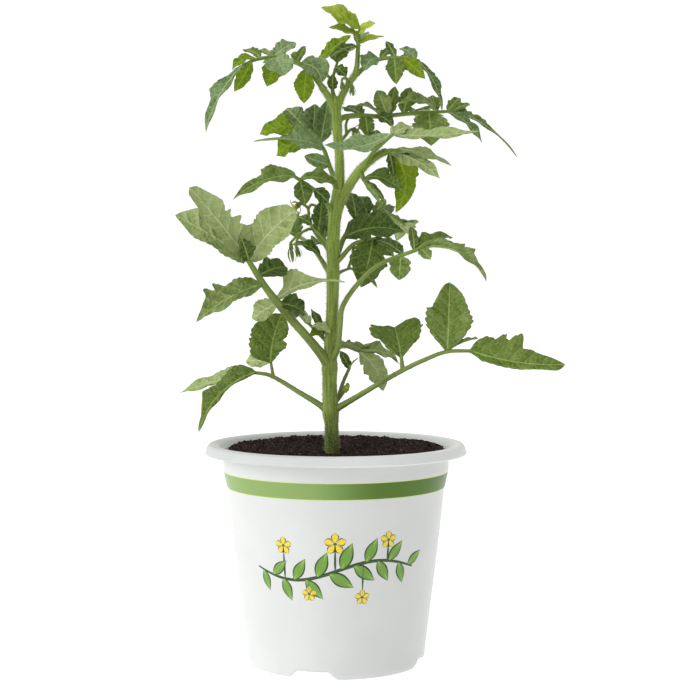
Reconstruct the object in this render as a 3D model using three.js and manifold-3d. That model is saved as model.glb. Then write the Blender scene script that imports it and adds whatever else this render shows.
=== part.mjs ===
// A young tomato plant in a plastic nursery pot, about 30 cm tall.
// Millimetres, +Z up. The origin is the middle of the pot's underside, and the
// plant is seen from the front along +Y, with +X to the right.
import * as THREE from 'three';
import { mergeVertices } from 'three/addons/utils/BufferGeometryUtils.js';
import Module from 'manifold-3d';

const wasm = await Module();
wasm.setup();

// ---- driving dimensions -------------------------------------------------

// Pot, a thin-walled 118 mm nursery pot. Pairs are [radius, height].
const POT_SIDES = 36;
const POT_OUTSIDE = [
  [0, 0], [27, 0], [28.2, 3.8], [38.4, 3.8], [38.9, 0],
  [40, 0], [40.5, 7.6], [46.1, 52.4], [48.9, 79], [50.85, 86.7], [50.85, 93.9],
  [53.9, 96.9], [56.1, 97.1], [58, 93.7],
];
const POT_INSIDE = [
  [59, 93.7], [57, 98.2], [53.5, 97.9], [49.85, 94.3],
  [49.85, 87], [47.9, 79.2], [45.1, 52.6], [39.4, 7.8], [39.1, 4.9],
  [28.9, 4.9], [27.7, 1.2], [0, 1.2],
];

// The skirt round the foot has four gaps that let water out from under the
// floor, and one drain hole in the floor behind each gap.
const FOOT_GAP_COUNT = 4;
const FOOT_GAP_FIRST = -14.5;
const FOOT_GAP_HEIGHT = 3.5;
const FOOT_GAP_WIDTH_LOW = 21.8;
const FOOT_GAP_WIDTH_HIGH = 13.8;
const FOOT_RADIUS = 39.5;
const FOOT_GAP_DEPTH = 10;
const DRAIN_DIAMETER = 3.4;
const DRAIN_RADIUS = 33.5;
const DRAIN_LEVEL = 4;
const DRAIN_LENGTH = 6;
const DRAIN_SIDES = 8;

// Soil: a filling that stops just short of the pot. Its lumpy top dips a
// little round the stem and stands highest near the rim.
const SOIL_SIDES = 24;
const SOIL_GAP = 0.35;
const SOIL_EDGE = [49.3, 94];
const SOIL_TOP = [[48.4, 96], [44, 97], [30, 96.2], [15, 94.2]];
const SOIL_CROWN = 93.3;
const SOIL_LUMP = 0.4;

// Plant. The layout below gives every point as [across, back, up] in mm, as
// seen from the front by an eye 700 mm away: a point that lies further back
// is moved out along its line of sight, and the whole plant stands a little
// higher than it was laid out.
const EYE = new THREE.Vector3(6.3, -700, 171.5);
const PLANT_RISE = 0.7;
const STALK_SIDES = 5;
const STALK_STEPS = 1;
const STEM_SIDES = 8;
const STEM_STEPS = 1;
const FIT_GAP = 0.3;

// Leaf blades: thickness, how far the halves lift off the midrib, and how far
// the teeth lean forward.
const BLADE_THICK = 0.7;
const BLADE_CUP = 0.22;
const TOOTH_LEAN = 0.3;

// Outlines of a long, a middling and a short leaflet, as pairs of the place
// along the midrib and the half-width, from the neck over the teeth and the
// notches between them to the tip. Both are shares of the whole.
const LONG_OUTLINE = [[0, 0.08], [0.2, 0.84], [0.28, 0.72], [0.44, 1], [0.51, 0.76], [0.7, 0.62], [1, 0.04]];
const MIDDLE_OUTLINE = [[0, 0.12], [0.32, 1], [0.46, 0.78], [0.64, 0.7], [1, 0.05]];
const SHORT_OUTLINE = [[0, 0.14], [0.36, 1], [0.62, 0.72], [1, 0.07]];
const LONG_FROM = 24;
const MIDDLE_FROM = 13;

// Flower buds: half-width along the bud, from stalk to tip.
const BUD_SIDES = 5;
const BUD_OUTLINE = [[0, 0.4], [0.3, 1], [0.75, 0.6], [1, 0.2]];

// ---- layout -------------------------------------------------------------

// The main stem, its side branch and the fork at the top grew as one piece.
// Each route has its thickness at every point.
const STEMS = [
    {"name": "main", "route": [[-1.9, 0, 68], [-1.9, 0, 92], [-2.1, 0, 105], [-2.8, 0, 117], [-2.9, 0, 131],
        [-2.1, 0, 148], [-1.4, 0, 170], [-1.2, 0, 190], [-0.2, 0, 204], [1.4, 0, 215], [1.6, 0, 225],
        [0.6, 0, 237], [-0.2, 0, 251]],
     "thick": [6.7, 6.7, 6.2, 6.8, 6.3, 5.4, 5.4, 5.6, 5.2, 4.4, 3.9, 4.1, 4.3]},
    {"name": "side", "route": [[-0.3, 0, 200], [3.5, -1, 209], [9.5, -3, 218.5], [15.5, -5, 224.5],
            [22, -8, 228.5]],
     "thick": [4.4, 4.4, 4.2, 3.6, 2.8]},
    {"name": "fork_left", "route": [[-0.4, 0, 247], [-3.2, -1, 252.5], [-6.6, -3, 257.5]],
     "thick": [3.4, 3, 2.6]},
    {"name": "fork_right", "route": [[0.2, 0, 247.5], [3.6, 1, 255],
            [8.4, 2, 262.6]], "thick": [3.4, 2.9, 2.5]},
];

// Each leaf is a stalk with its leaflets. A leaflet runs from `at` on the
// stalk to `tip`; `face` is where its upper side looks.
const LEAVES = [
    {"name": "leaf_lowest_left",
     "stalks": [
        {"route": [[-2.9, 0, 111], [-8, 2, 115], [-17, 6, 120.5], [-29, 11, 127.6], [-37, 13, 129.2]],
         "thick": [3.6, 2.8, 2.3, 1.9, 1.5]},
        {"route": [[-28.4, 11, 127.5], [-29.6, 10, 135.5]], "thick": [1.5, 1.1]}],
     "blades": [
        {"at": [-36, 12.6, 129.2], "tip": [-62, 2, 102.4], "wide": 18,
         "face": [-0.6, -0.8, 0.7], "arch": 3.6, "bend": -3.4},
        {"at": [-36.2, 13.6, 129], "tip": [-70.5, 26, 120], "wide": 12,
         "face": [-0.1, -0.6, 1], "arch": 1},
        {"at": [-29.5, 10, 134], "tip": [-24.5, 4, 155.8], "wide": 19,
         "face": [0.1, -1, 0.3], "arch": 2, "bend": 1.1},
        {"at": [-29.6, 10.4, 134], "tip": [-40.4, 16, 134.6], "wide": 8,
         "face": [0, -1, 0.4], "arch": 1}]},
    {"name": "leaf_lowest_right",
     "stalks": [
        {"route": [[-2.4, 0, 111.5], [2.5, -1.5, 114.2], [10, -4, 118.6], [20, -7, 124.6], [30, -10, 130.2],
            [40, -12, 135], [50, -13, 138.6], [62, -14, 139]],
         "thick": [3.6, 3, 2.5, 2.3, 2.2, 2, 1.8, 1.5]},
        {"route": [[30, -10, 130], [29.2, -8, 137.8]], "thick": [1.9, 1.5]}],
     "blades": [
        {"at": [29.3, -8.5, 136], "tip": [26.4, 6, 149.6], "wide": 23,
         "face": [0, -1, 0.9], "arch": 1.5, "cup": 0.35},
        {"at": [50, -13, 138.6], "tip": [51, -5, 169.8], "wide": 21.5,
         "face": [0.05, -1, 0.2], "arch": 1.5},
        {"at": [50, -13, 139], "tip": [64, 2, 144.5], "wide": 9,
         "face": [-0.2, 0.1, 1], "arch": 1},
        {"at": [60, -14, 139], "tip": [103.4, -20, 132.8], "wide": 22,
         "face": [-0.1, -1, 0.5], "arch": -0.6, "bend": -2}]},
    {"name": "leaf_low_behind",
     "stalks": [{"route": [[-2, 0, 143.5], [1.5, 3, 142.6], [6, 8, 141],
            [11, 14, 138.7]], "thick": [3, 2.8, 2.4, 1.8]}],
     "blades": [
        {"at": [10, 13, 139], "tip": [28.5, 24, 133], "wide": 11,
         "face": [0.1, -0.6, 1], "arch": 3},
        {"at": [10.4, 13.2, 139], "tip": [21.2, 14, 120.6], "wide": 10.5,
         "face": [-0.2, -1, 0.2], "arch": 1.5, "bend": 2.4},
        {"at": [10, 13, 139], "tip": [16, 38, 138.5], "wide": 13,
         "face": [0, -0.1, 1], "arch": 2.4},
        {"at": [8, 10, 140], "tip": [-4, 30, 134], "wide": 11,
         "face": [-0.2, -0.2, 1], "arch": 3}]},
    {"name": "shoot_low_right",
     "stalks": [{"route": [[-2.3, 0, 112.5], [1, 3.5, 118], [3.2, 6, 125],
            [6.2, 8, 131.6]], "thick": [2.4, 2, 1.7, 1.3]},
        {"route": [[0.6, 3, 117], [3.4, 1, 120.5], [5.2, -0.5, 124]], "thick": [1.7, 1.6, 1.4]}],
     "blades": [
        {"at": [6, 8, 131], "tip": [1.8, 7, 139], "wide": 4.6,
         "face": [0.3, -1, 0.2], "arch": 0.5},
        {"at": [6, 8, 131], "tip": [10, 2.5, 135.6], "wide": 3,
         "face": [0, -0.6, 1], "arch": 0.5},
        {"at": [3.4, 1, 120.5], "tip": [6.2, -2, 123.8], "wide": 3.2,
         "face": [0.2, -1, 0.4], "arch": 0.5}]},
    {"name": "leaf_large_left",
     "stalks": [
        {"route": [[-2.9, 0, 131.5], [-6, -2, 136.5], [-12, -5, 144], [-20, -9, 153],
            [-27, -13, 161.5], [-33, -17, 169.5],
            [-40.5, -22, 181.5]],
         "thick": [5, 4.6, 4, 3.8, 3.5, 3, 2.2]}],
     "blades": [
        {"at": [-40, -22, 181], "tip": [-65.6, -38, 212.4], "wide": 17,
         "face": [0.2, -1, 0.5], "arch": 2, "bend": 0.6},
        {"at": [-39.6, -22, 180], "tip": [-72.2, -26, 200], "wide": 19,
         "face": [-0.1, -1, 0.6], "arch": 2},
        {"at": [-39, -21, 179.6], "tip": [-18, -30, 202], "wide": 18.5,
         "face": [-0.1, -1, 0.35], "arch": 2, "bend": 1},
        {"at": [-39.5, -21, 180], "tip": [-41, -12, 190.5], "wide": 8,
         "face": [0.3, -1, 0.1], "arch": 0.5},
        {"at": [-35, -18, 172.5], "tip": [-22, -3, 176.5], "wide": 12,
         "face": [0.1, -1, 0.6], "arch": 2},
        {"at": [-33, -17, 168.6], "tip": [-62.8, -26, 152], "wide": 17,
         "face": [-0.3, -0.8, 0.8], "arch": 2.4, "bend": -0.5, "cup": 0.42},
        {"at": [-27, -13, 162], "tip": [4.4, -17, 169.8], "wide": 14.5,
         "face": [0, -0.9, 0.7], "arch": 2, "bend": 3},
        {"at": [-26.4, -13, 160.8], "tip": [-37.8, -6, 153.4], "wide": 10,
         "face": [-0.1, -1, 0.3], "arch": 1},
        {"at": [-25.5, -12, 160], "tip": [-14, -5, 155.5], "wide": 12,
         "face": [0, -1, 0.7], "arch": 2}]},
    {"name": "shoot_left",
     "stalks": [{"route": [[-2.2, 0, 139.5], [-3.4, 3.2, 142], [-7.4, 3.4, 146.5],
            [-12, 1, 151]], "thick": [2.4, 2, 1.7, 1.3]}],
     "blades": [
        {"at": [-11.4, 1.3, 150.4], "tip": [-16.8, 6, 157.6], "wide": 4.5,
         "face": [0.2, -1, 0.3], "arch": 0.5},
        {"at": [-11, 1.6, 150], "tip": [-2.6, -5, 147], "wide": 6,
         "face": [0, -0.8, 1], "arch": 1.5},
        {"at": [-8, 3, 147], "tip": [-11.6, -1.6, 145.6], "wide": 4.4,
         "face": [0, -1, 0.6], "arch": 1},
        {"at": [-6, 3.4, 145], "tip": [-11.4, 13, 158], "wide": 5.4,
         "face": [0.5, -0.8, 0.2], "arch": 1}]},
    {"name": "leaf_right_long",
     "stalks": [
        {"route": [[-2.4, 0, 134], [0.6, -4.6, 140], [1.8, -5.6, 150], [3, -6, 159], [9.5, -7, 168.8],
            [19, -10, 177.6],
            [34, -14, 183.6], [42, -15, 186.4]],
         "thick": [3, 2.8, 2.5, 2.4, 2.2, 2, 1.7, 1.4]}],
     "blades": [
        {"at": [40, -15, 185.8], "tip": [67.6, -20, 170.4], "wide": 13,
         "face": [0.5, -0.5, 0.9], "arch": 5.5},
        {"at": [35.5, -14, 184.2], "tip": [52.5, -2, 190], "wide": 11,
         "face": [-0.1, -0.6, 1], "arch": 2},
        {"at": [35, -14, 184], "tip": [33.6, -6, 195], "wide": 5,
         "face": [0.3, -1, 0.2], "arch": 1},
        {"at": [29, -12.6, 181.6], "tip": [28.4, -17, 170.8], "wide": 10,
         "face": [0, -1, 0.4], "arch": 0.8},
        {"at": [38, -14.4, 184.8], "tip": [42.4, -19, 180], "wide": 6,
         "face": [0, -1, 0.5], "arch": 0.6},
        {"at": [30, -13, 182], "tip": [18, -2, 188.6], "wide": 8,
         "face": [0.2, -0.7, 0.8], "arch": 1.5}]},
    {"name": "leaf_right_dark",
     "stalks": [
        {"route": [[-1.3, 0, 180], [0.8, 4.6, 183], [4, 8.4, 190.4], [10, 12, 197.5], [17, 18, 200.5],
            [25, 24, 200],
            [31, 28, 195.5]],
         "thick": [3, 2.6, 2.2, 2, 1.8, 1.5, 1.2]}],
     "blades": [
        {"at": [3.6, 8, 189.6], "tip": [31, 11, 192], "wide": 17,
         "face": [0, -0.9, 0.7], "arch": 3, "bend": 2},
        {"at": [17, 18, 200.4], "tip": [22.4, 20, 207], "wide": 5,
         "face": [0, -1, 0.3], "arch": 0.5},
        {"at": [14, 15.4, 199.8], "tip": [11, 24, 208.4], "wide": 8,
         "face": [0.2, -1, 0.3], "arch": 1},
        {"at": [9, 11.4, 196.8], "tip": [6.6, 22, 210], "wide": 9,
         "face": [0.3, -1, 0.2], "arch": 1.5},
        {"at": [24, 23, 200.2], "tip": [17, 46, 201], "wide": 12,
         "face": [0, -0.1, 1], "arch": 2},
        {"at": [30, 27, 196.4], "tip": [27, 58, 188], "wide": 14,
         "face": [0.3, 0.3, 1], "arch": 4},
        {"at": [28, 26, 198.2], "tip": [33, 46, 190], "wide": 9,
         "face": [0.4, 0, 1], "arch": 2}]},
    {"name": "leaf_right_under",
     "stalks": [
        {"route": [[-1.3, 0, 177.5], [2.4, -1, 181], [8.4, 2, 187.2],
            [17.5, 7, 189.4]], "thick": [2.6, 2.2, 1.9, 1.5]},
        {"route": [[-1.3, 0, 171.5], [2, 1, 174.4], [6.4, 1.4, 176.2]], "thick": [1.8, 1.4, 1.1]},
        {"route": [[5.6, 1.4, 176.2], [7.4, 1.6, 182], [8, 1.9, 187.2]], "thick": [1.2, 1.2, 1.4]}],
     "blades": [
        {"at": [16.5, 6.7, 189.3], "tip": [11.2, -1, 167.4], "wide": 17,
         "face": [0.1, -1, 0.5], "arch": 2.5, "bend": 0.5},
        {"at": [15.5, 6.3, 189], "tip": [26, 10, 181.4], "wide": 8,
         "face": [0.2, -1, 0.6], "arch": 1.5},
        {"at": [6, 1.4, 176], "tip": [18.6, -4.5, 167.4], "wide": 5,
         "face": [0.3, -0.7, 0.8], "arch": 2}]},
    {"name": "leaf_behind_left",
     "stalks": [
        {"route": [[-1.4, 0, 172], [-4.4, 4, 176.4], [-8, 9, 182], [-13, 17, 188], [-20, 28, 192]],
         "thick": [2.8, 2.4, 2, 1.8, 1.5]}],
     "blades": [
        {"at": [-7, 8, 181], "tip": [-20, 9, 186.6], "wide": 7,
         "face": [-0.2, -0.6, 1], "arch": 3},
        {"at": [-19, 27, 191.6], "tip": [-40, 52, 186], "wide": 17,
         "face": [-0.3, -0.2, 1], "arch": 4},
        {"at": [-17, 23.5, 190.6], "tip": [-26, 50, 198], "wide": 14,
         "face": [-0.1, -0.5, 1], "arch": 3},
        {"at": [-16, 22, 190], "tip": [-38, 26, 196], "wide": 12,
         "face": [-0.2, -0.6, 1], "arch": 2},
        {"at": [-11, 14, 186], "tip": [-2, 34, 183], "wide": 12,
         "face": [0.3, 0.3, 1], "arch": 3}]},
    {"name": "leaf_small_left",
     "stalks": [
        {"route": [[-1.2, 0, 184], [-4.6, 3, 188.2], [-8.6, 5, 193],
            [-12, 6, 196.4]], "thick": [2.4, 2, 1.7, 1.2]}],
     "blades": [
        {"at": [-8, 4.8, 192.2], "tip": [-6.4, 8, 206.4], "wide": 8.5,
         "face": [0.2, -1, 0.3], "arch": 1},
        {"at": [-5.6, 3.6, 189.4], "tip": [-4.4, 12, 200.5], "wide": 6,
         "face": [0.2, -1, 0.2], "arch": 1},
        {"at": [-11, 6, 195.6], "tip": [-17, 7, 199], "wide": 5,
         "face": [0, -1, 0.6], "arch": 1}]},
    {"name": "leaf_left_arching",
     "stalks": [
        {"route": [[-0.6, 0, 199], [-3.6, -3, 204.5], [-9, -7, 210.6],
            [-18.5, -12, 217.2]], "thick": [2.8, 2.2, 1.9, 1.5]}],
     "blades": [
        {"at": [-17.5, -11.4, 216.8], "tip": [-46, -22, 207], "wide": 16.5,
         "face": [-0.2, -0.8, 0.9], "arch": 4.2, "cup": 0.4},
        {"at": [-16, -11, 215.2], "tip": [-13.8, -14, 204.6], "wide": 8.5,
         "face": [0.1, -1, 0.3], "arch": 0.8},
        {"at": [-16.4, -11, 215.8], "tip": [1.5, -9.5, 211], "wide": 11,
         "face": [0.1, -0.7, 1], "arch": 3.4},
        {"at": [-10, -7.6, 211.6], "tip": [-3.4, -4.6, 205.6], "wide": 7,
         "face": [0.1, -1, 0.3], "arch": 0.8}]},
    {"name": "leaf_left_upper",
     "stalks": [
        {"route": [[1.2, 0, 213.5], [-1.6, 4, 218.5], [-3.6, 7, 224], [-5.6, 10, 229.5],
            [-10, 13, 234.5], [-16, 15, 239.5]],
         "thick": [2.8, 2.4, 2.1, 1.9, 1.7, 1.3]}],
     "blades": [
        {"at": [-3.1, 6, 222.4], "tip": [-14.2, 2, 226.4], "wide": 7,
         "face": [-0.1, -1, 0.3], "arch": 0.8, "bend": 0.6},
        {"at": [-6, 10, 230], "tip": [-37, -2, 232.8], "wide": 16,
         "face": [0, -1, 0.7], "arch": 3.6},
        {"at": [-15, 15, 239], "tip": [-34.2, 20, 236], "wide": 12,
         "face": [-0.1, -0.9, 0.7], "arch": 2.5},
        {"at": [-9.5, 13, 234.4], "tip": [-26.6, 20, 226.4], "wide": 14,
         "face": [-0.2, -0.8, 0.5], "arch": 3},
        {"at": [-14, 14.6, 238.6], "tip": [-22.4, 26, 247.4], "wide": 10,
         "face": [-0.1, -1, 0.5], "arch": 1.5},
        {"at": [-10, 13, 235], "tip": [-9.6, 20, 249.6], "wide": 11,
         "face": [0.1, -1, 0.3], "arch": 1},
        {"at": [-7, 11, 232], "tip": [-3.6, 17, 251.6], "wide": 10,
         "face": [0.2, -1, 0.3], "arch": 1},
        {"at": [-13, 14, 237.4], "tip": [-22, 42, 231], "wide": 15,
         "face": [-0.2, 0.2, 1], "arch": 3}]},
    {"name": "leaf_right_pale",
     "stalks": [
        {"route": [[13.6, -4.4, 222.6], [15.6, -8.5, 226.4], [19, -13, 230.4],
            [25.5, -19, 236]], "thick": [2.4, 2, 1.8, 1.4]}],
     "blades": [
        {"at": [25, -18.6, 236], "tip": [-5.4, -25, 231.4], "wide": 13,
         "face": [0, -0.75, 1], "arch": -4},
        {"at": [25, -18.6, 235.8], "tip": [64.6, -30, 237.4], "wide": 10,
         "face": [0, -0.7, 1], "arch": -1.2},
        {"at": [24.6, -18.4, 235.4], "tip": [34, -13, 239.6], "wide": 8,
         "face": [-0.1, -0.8, 1], "arch": 0.8},
        {"at": [17, -10.6, 228], "tip": [18, -2, 238], "wide": 9,
         "face": [-0.2, -1, 0.2], "arch": 0.8}]},
    {"name": "leaf_right_fan",
     "stalks": [
        {"route": [[20.6, -7.4, 227.6], [25, -10.4, 228.6], [29, -12, 228.4]], "thick": [2.6, 2.2, 1.6]}],
     "blades": [
        {"at": [24.6, -10.4, 228.6], "tip": [51.8, -15, 222], "wide": 10,
         "face": [0.2, -0.6, 1], "arch": 2.6},
        {"at": [24.6, -10.4, 228], "tip": [46.6, -24, 216.4], "wide": 12,
         "face": [0.2, -0.8, 0.8], "arch": 2.6},
        {"at": [26, -11, 228], "tip": [26.6, -10, 201], "wide": 13,
         "face": [-0.1, -1, 0.2], "arch": 1, "bend": 5},
        {"at": [24, -10, 228], "tip": [26, -4, 217.6], "wide": 5,
         "face": [0, -1, 0.2], "arch": 0.6}]},
    {"name": "leaf_right_low",
     "stalks": [{"route": [[11, -3.6, 219.4], [12.6, -7.6, 215.4]], "thick": [2.4, 1.6]}],
     "blades": [
        {"at": [12, -6.8, 216], "tip": [30, -21, 210.3], "wide": 12,
         "face": [0.1, -0.8, 1], "arch": 3.4},
        {"at": [12.4, -7.4, 215.6], "tip": [20, -12, 205], "wide": 3.4,
         "face": [0.2, -1, 0.3], "arch": 1},
        {"at": [12.4, -7, 215.6], "tip": [22, -3.6, 205.4], "wide": 3.4,
         "face": [0.2, -1, 0.3], "arch": 2}]},
    {"name": "leaf_right_upper",
     "stalks": [
        {"route": [[0, 0, 240], [3, 3.6, 243.4], [10, 7, 244.4], [20, 10, 244], [30, 11, 245],
            [42, 12, 245.8],
            [54, 12, 246.4]],
         "thick": [3, 2.6, 2.3, 2.1, 1.9, 1.7, 1.3]}],
     "blades": [
        {"at": [23, 10.4, 244.2], "tip": [18.4, 12, 255.6], "wide": 8.5,
         "face": [0.1, -1, 0.2], "arch": 0.8},
        {"at": [23.6, 10.4, 244.4], "tip": [26.6, 18, 257.4], "wide": 6.5,
         "face": [0, -1, 0.3], "arch": 0.8},
        {"at": [30, 11, 245], "tip": [33.4, 17, 257], "wide": 8,
         "face": [0, -1, 0.3], "arch": 0.8},
        {"at": [45, 12, 246], "tip": [28, 5, 249.6], "wide": 11,
         "face": [0, -0.7, 1], "arch": 3.6},
        {"at": [45, 12, 246], "tip": [43, 18, 253.4], "wide": 5.4,
         "face": [0, -1, 0.3], "arch": 0.5},
        {"at": [50, 12, 246.2], "tip": [55.6, 21, 252.2], "wide": 5.6,
         "face": [0, -0.9, 0.6], "arch": 0.8},
        {"at": [52, 12, 246.3], "tip": [60, 15, 249.4], "wide": 4.6,
         "face": [0, -0.9, 0.8], "arch": 0.6},
        {"at": [49, 12, 246.2], "tip": [65.4, 5, 232.4], "wide": 7.6,
         "face": [0.5, -0.7, 0.7], "arch": 2.4},
        {"at": [53, 12, 246.3], "tip": [81, 14, 226], "wide": 12,
         "face": [0.4, -0.7, 0.8], "arch": 3.4},
        {"at": [41.6, 12, 245.6], "tip": [42.6, 4, 230.8], "wide": 16.5,
         "face": [0, -1, 0.5], "arch": 1.6},
        {"at": [20, 10, 244], "tip": [9.6, 3, 249], "wide": 7,
         "face": [0, -0.6, 1], "arch": 1.5},
        {"at": [18, 9.6, 244], "tip": [25.4, 3.6, 239.4], "wide": 8,
         "face": [0.1, -0.8, 0.8], "arch": 1.6},
        {"at": [13, 8.2, 244.2], "tip": [14.6, 3, 234.6], "wide": 7.5,
         "face": [0, -1, 0.4], "arch": 0.8},
        {"at": [12, 8, 244.2], "tip": [3.4, 22, 247.6], "wide": 9,
         "face": [0, -0.7, 1], "arch": 1.2},
        {"at": [34, 11.6, 245.4], "tip": [38, 44, 242], "wide": 14,
         "face": [0.1, 0, 1], "arch": 3}]},
    {"name": "leaf_top_left",
     "stalks": [
        {"route": [[-5.2, -2, 255.6], [-9.6, -5, 261.6], [-14, -7, 266], [-19.6, -9, 268.6],
            [-27, -11, 270.4],
            [-35, -13, 269.4], [-41.6, -14, 266.8]],
         "thick": [2.6, 2.4, 2.2, 2, 1.8, 1.5, 1.3]}],
     "blades": [
        {"at": [-40.6, -14, 267.2], "tip": [-58.2, -16, 237], "wide": 14,
         "face": [-0.8, -0.8, 0.5], "arch": 3.2},
        {"at": [-37.6, -13.4, 268.4], "tip": [-45.4, -9, 255], "wide": 6.5,
         "face": [0.3, -1, 0.2], "arch": 1},
        {"at": [-35, -13, 269.4], "tip": [-46.4, -20, 264.6], "wide": 7.5,
         "face": [-0.2, -0.7, 1], "arch": 2.4},
        {"at": [-33.6, -12.6, 269.8], "tip": [-41.6, -2, 273.4], "wide": 6,
         "face": [0, -0.7, 1], "arch": 1.2},
        {"at": [-27, -11, 270.2], "tip": [-23, -18, 262.2], "wide": 14.5,
         "face": [0.1, -1, 0.35], "arch": 1},
        {"at": [-26, -10.6, 270], "tip": [-30.9, -12, 257.2], "wide": 9.4,
         "face": [0.1, -1, 0.2], "arch": 0.8},
        {"at": [-27.6, -11, 270.4], "tip": [-17.8, -3, 276.6], "wide": 8.4,
         "face": [-0.1, -0.9, 0.6], "arch": 1.4},
        {"at": [-28, -11, 270.6], "tip": [-35.6, -1, 273.4], "wide": 6,
         "face": [0, -0.3, 1], "arch": 0.6},
        {"at": [-17.6, -8.4, 268], "tip": [-13.7, -2, 275.3], "wide": 3.6,
         "face": [0.1, -1, 0.4], "arch": 0.5},
        {"at": [-16.6, -8, 267.6], "tip": [-19, -1, 272.6], "wide": 4.4,
         "face": [0, -1, 0.6], "arch": 0.5},
        {"at": [-16, -7.6, 267.2], "tip": [-6.3, -13, 258.8], "wide": 13,
         "face": [0.3, -1, 0.4], "arch": 1.5, "bend": 2.4},
        {"at": [-13, -6.4, 265.4], "tip": [-14.2, -2, 249.8], "wide": 9.4,
         "face": [-0.2, -1, 0.1], "arch": 1}]},
    {"name": "shoot_top",
     "stalks": [
        {"route": [[8.6, 1.8, 262.6], [9.4, 0.6, 266.8], [9.8, 3, 274], [10, 3, 279], [11, 3, 283.6]],
         "thick": [2.4, 2.2, 1.9, 1.7, 1.3]}],
     "blades": [
        {"at": [10.8, 3, 283], "tip": [-6.6, -3, 292.4], "wide": 11,
         "face": [0.1, -0.9, 0.7], "arch": 0.8},
        {"at": [10, 3, 280], "tip": [-3.2, -5, 283.4], "wide": 7.4,
         "face": [0, -0.8, 0.8], "arch": 0.8},
        {"at": [9.4, 3, 279.6], "tip": [17.6, -2, 285.4], "wide": 6.4,
         "face": [0, -0.8, 0.8], "arch": 1},
        {"at": [9.6, 3, 276], "tip": [21.6, 6, 279.4], "wide": 5,
         "face": [0, -0.7, 1], "arch": 1},
        {"at": [9.6, 3, 275], "tip": [-2.4, -3, 270.4], "wide": 6,
         "face": [-0.1, -0.8, 0.8], "arch": 1.5},
        {"at": [9.6, 3, 276.4], "tip": [13.4, 22, 281], "wide": 7,
         "face": [0, -0.4, 1], "arch": 1.5},
        {"at": [9.8, 3, 274.2], "tip": [4, 20, 271], "wide": 7, "face": [0, 0, 1], "arch": 2}]},
    {"name": "shoot_middle",
     "stalks": [
        {"route": [[-0.2, 2.6, 250.4], [-1.4, 3.4, 254.6], [-1.8, 5.4, 259], [-0.6, 8, 264],
            [0.8, 10, 268.6]],
         "thick": [2.2, 1.8, 1.5, 1.3, 1.1]},
        {"route": [[-1.8, 5.4, 259], [-5.2, 9, 265], [-7.2, 9.6, 270.6]], "thick": [1.3, 1.2, 1]}],
     "blades": [
        {"at": [-1.4, 4, 256], "tip": [-1.6, -1, 262.8], "wide": 5,
         "face": [0, -1, 0.2], "arch": 0.4},
        {"at": [0.6, 9.6, 268], "tip": [5.6, 13, 272.6], "wide": 5.4,
         "face": [0, -0.8, 1], "arch": 1},
        {"at": [-7, 9.4, 269.8], "tip": [6.8, 9, 280], "wide": 8.4,
         "face": [-0.3, -0.9, 0.6], "arch": 0.6, "bend": -0.6},
        {"at": [-0.2, 8.6, 265.6], "tip": [4.6, 5, 261.6], "wide": 6.4,
         "face": [0.2, -1, 0.4], "arch": 1},
        {"at": [0.6, 9.6, 267.8], "tip": [-2.6, 28, 272], "wide": 8,
         "face": [0, -0.2, 1], "arch": 2}]},
    {"name": "leaf_top_right",
     "stalks": [
        {"route": [[6.8, 1.6, 260.2], [10.4, 6, 263.6], [15, 6.4, 267.6], [20.4, 5.6, 269.6],
            [28, 6, 270], [37, 6, 268.8]],
         "thick": [2.3, 2.1, 1.9, 1.8, 1.6, 1.3]}],
     "blades": [
        {"at": [19.6, 5.4, 269.4], "tip": [13.2, -3, 264.4], "wide": 9.5,
         "face": [-0.1, -1, 0.5], "arch": 1.5, "bend": -1.6},
        {"at": [20, 5.6, 269.6], "tip": [24, 13, 274], "wide": 4.4,
         "face": [0, -0.9, 0.6], "arch": 0.5},
        {"at": [26, 6, 270], "tip": [27, 0, 258.2], "wide": 8.6,
         "face": [0, -1, 0.3], "arch": 0.8},
        {"at": [26.6, 6, 270], "tip": [22.4, 9, 277.4], "wide": 4,
         "face": [0, -1, 0.4], "arch": 0.8},
        {"at": [35.6, 6, 269.2], "tip": [28.8, 14, 274.2], "wide": 7,
         "face": [0, -0.6, 1], "arch": 1},
        {"at": [30, 6, 269.8], "tip": [40, 0, 260.6], "wide": 7,
         "face": [-0.2, -1, 0.3], "arch": 1.4},
        {"at": [36, 6, 269], "tip": [47.4, 7, 246.6], "wide": 9,
         "face": [0.8, -0.9, 0.5], "arch": 3},
        {"at": [27.6, 6, 270], "tip": [30, 26, 266], "wide": 9, "face": [0, 0, 1], "arch": 2}]},
];

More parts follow.
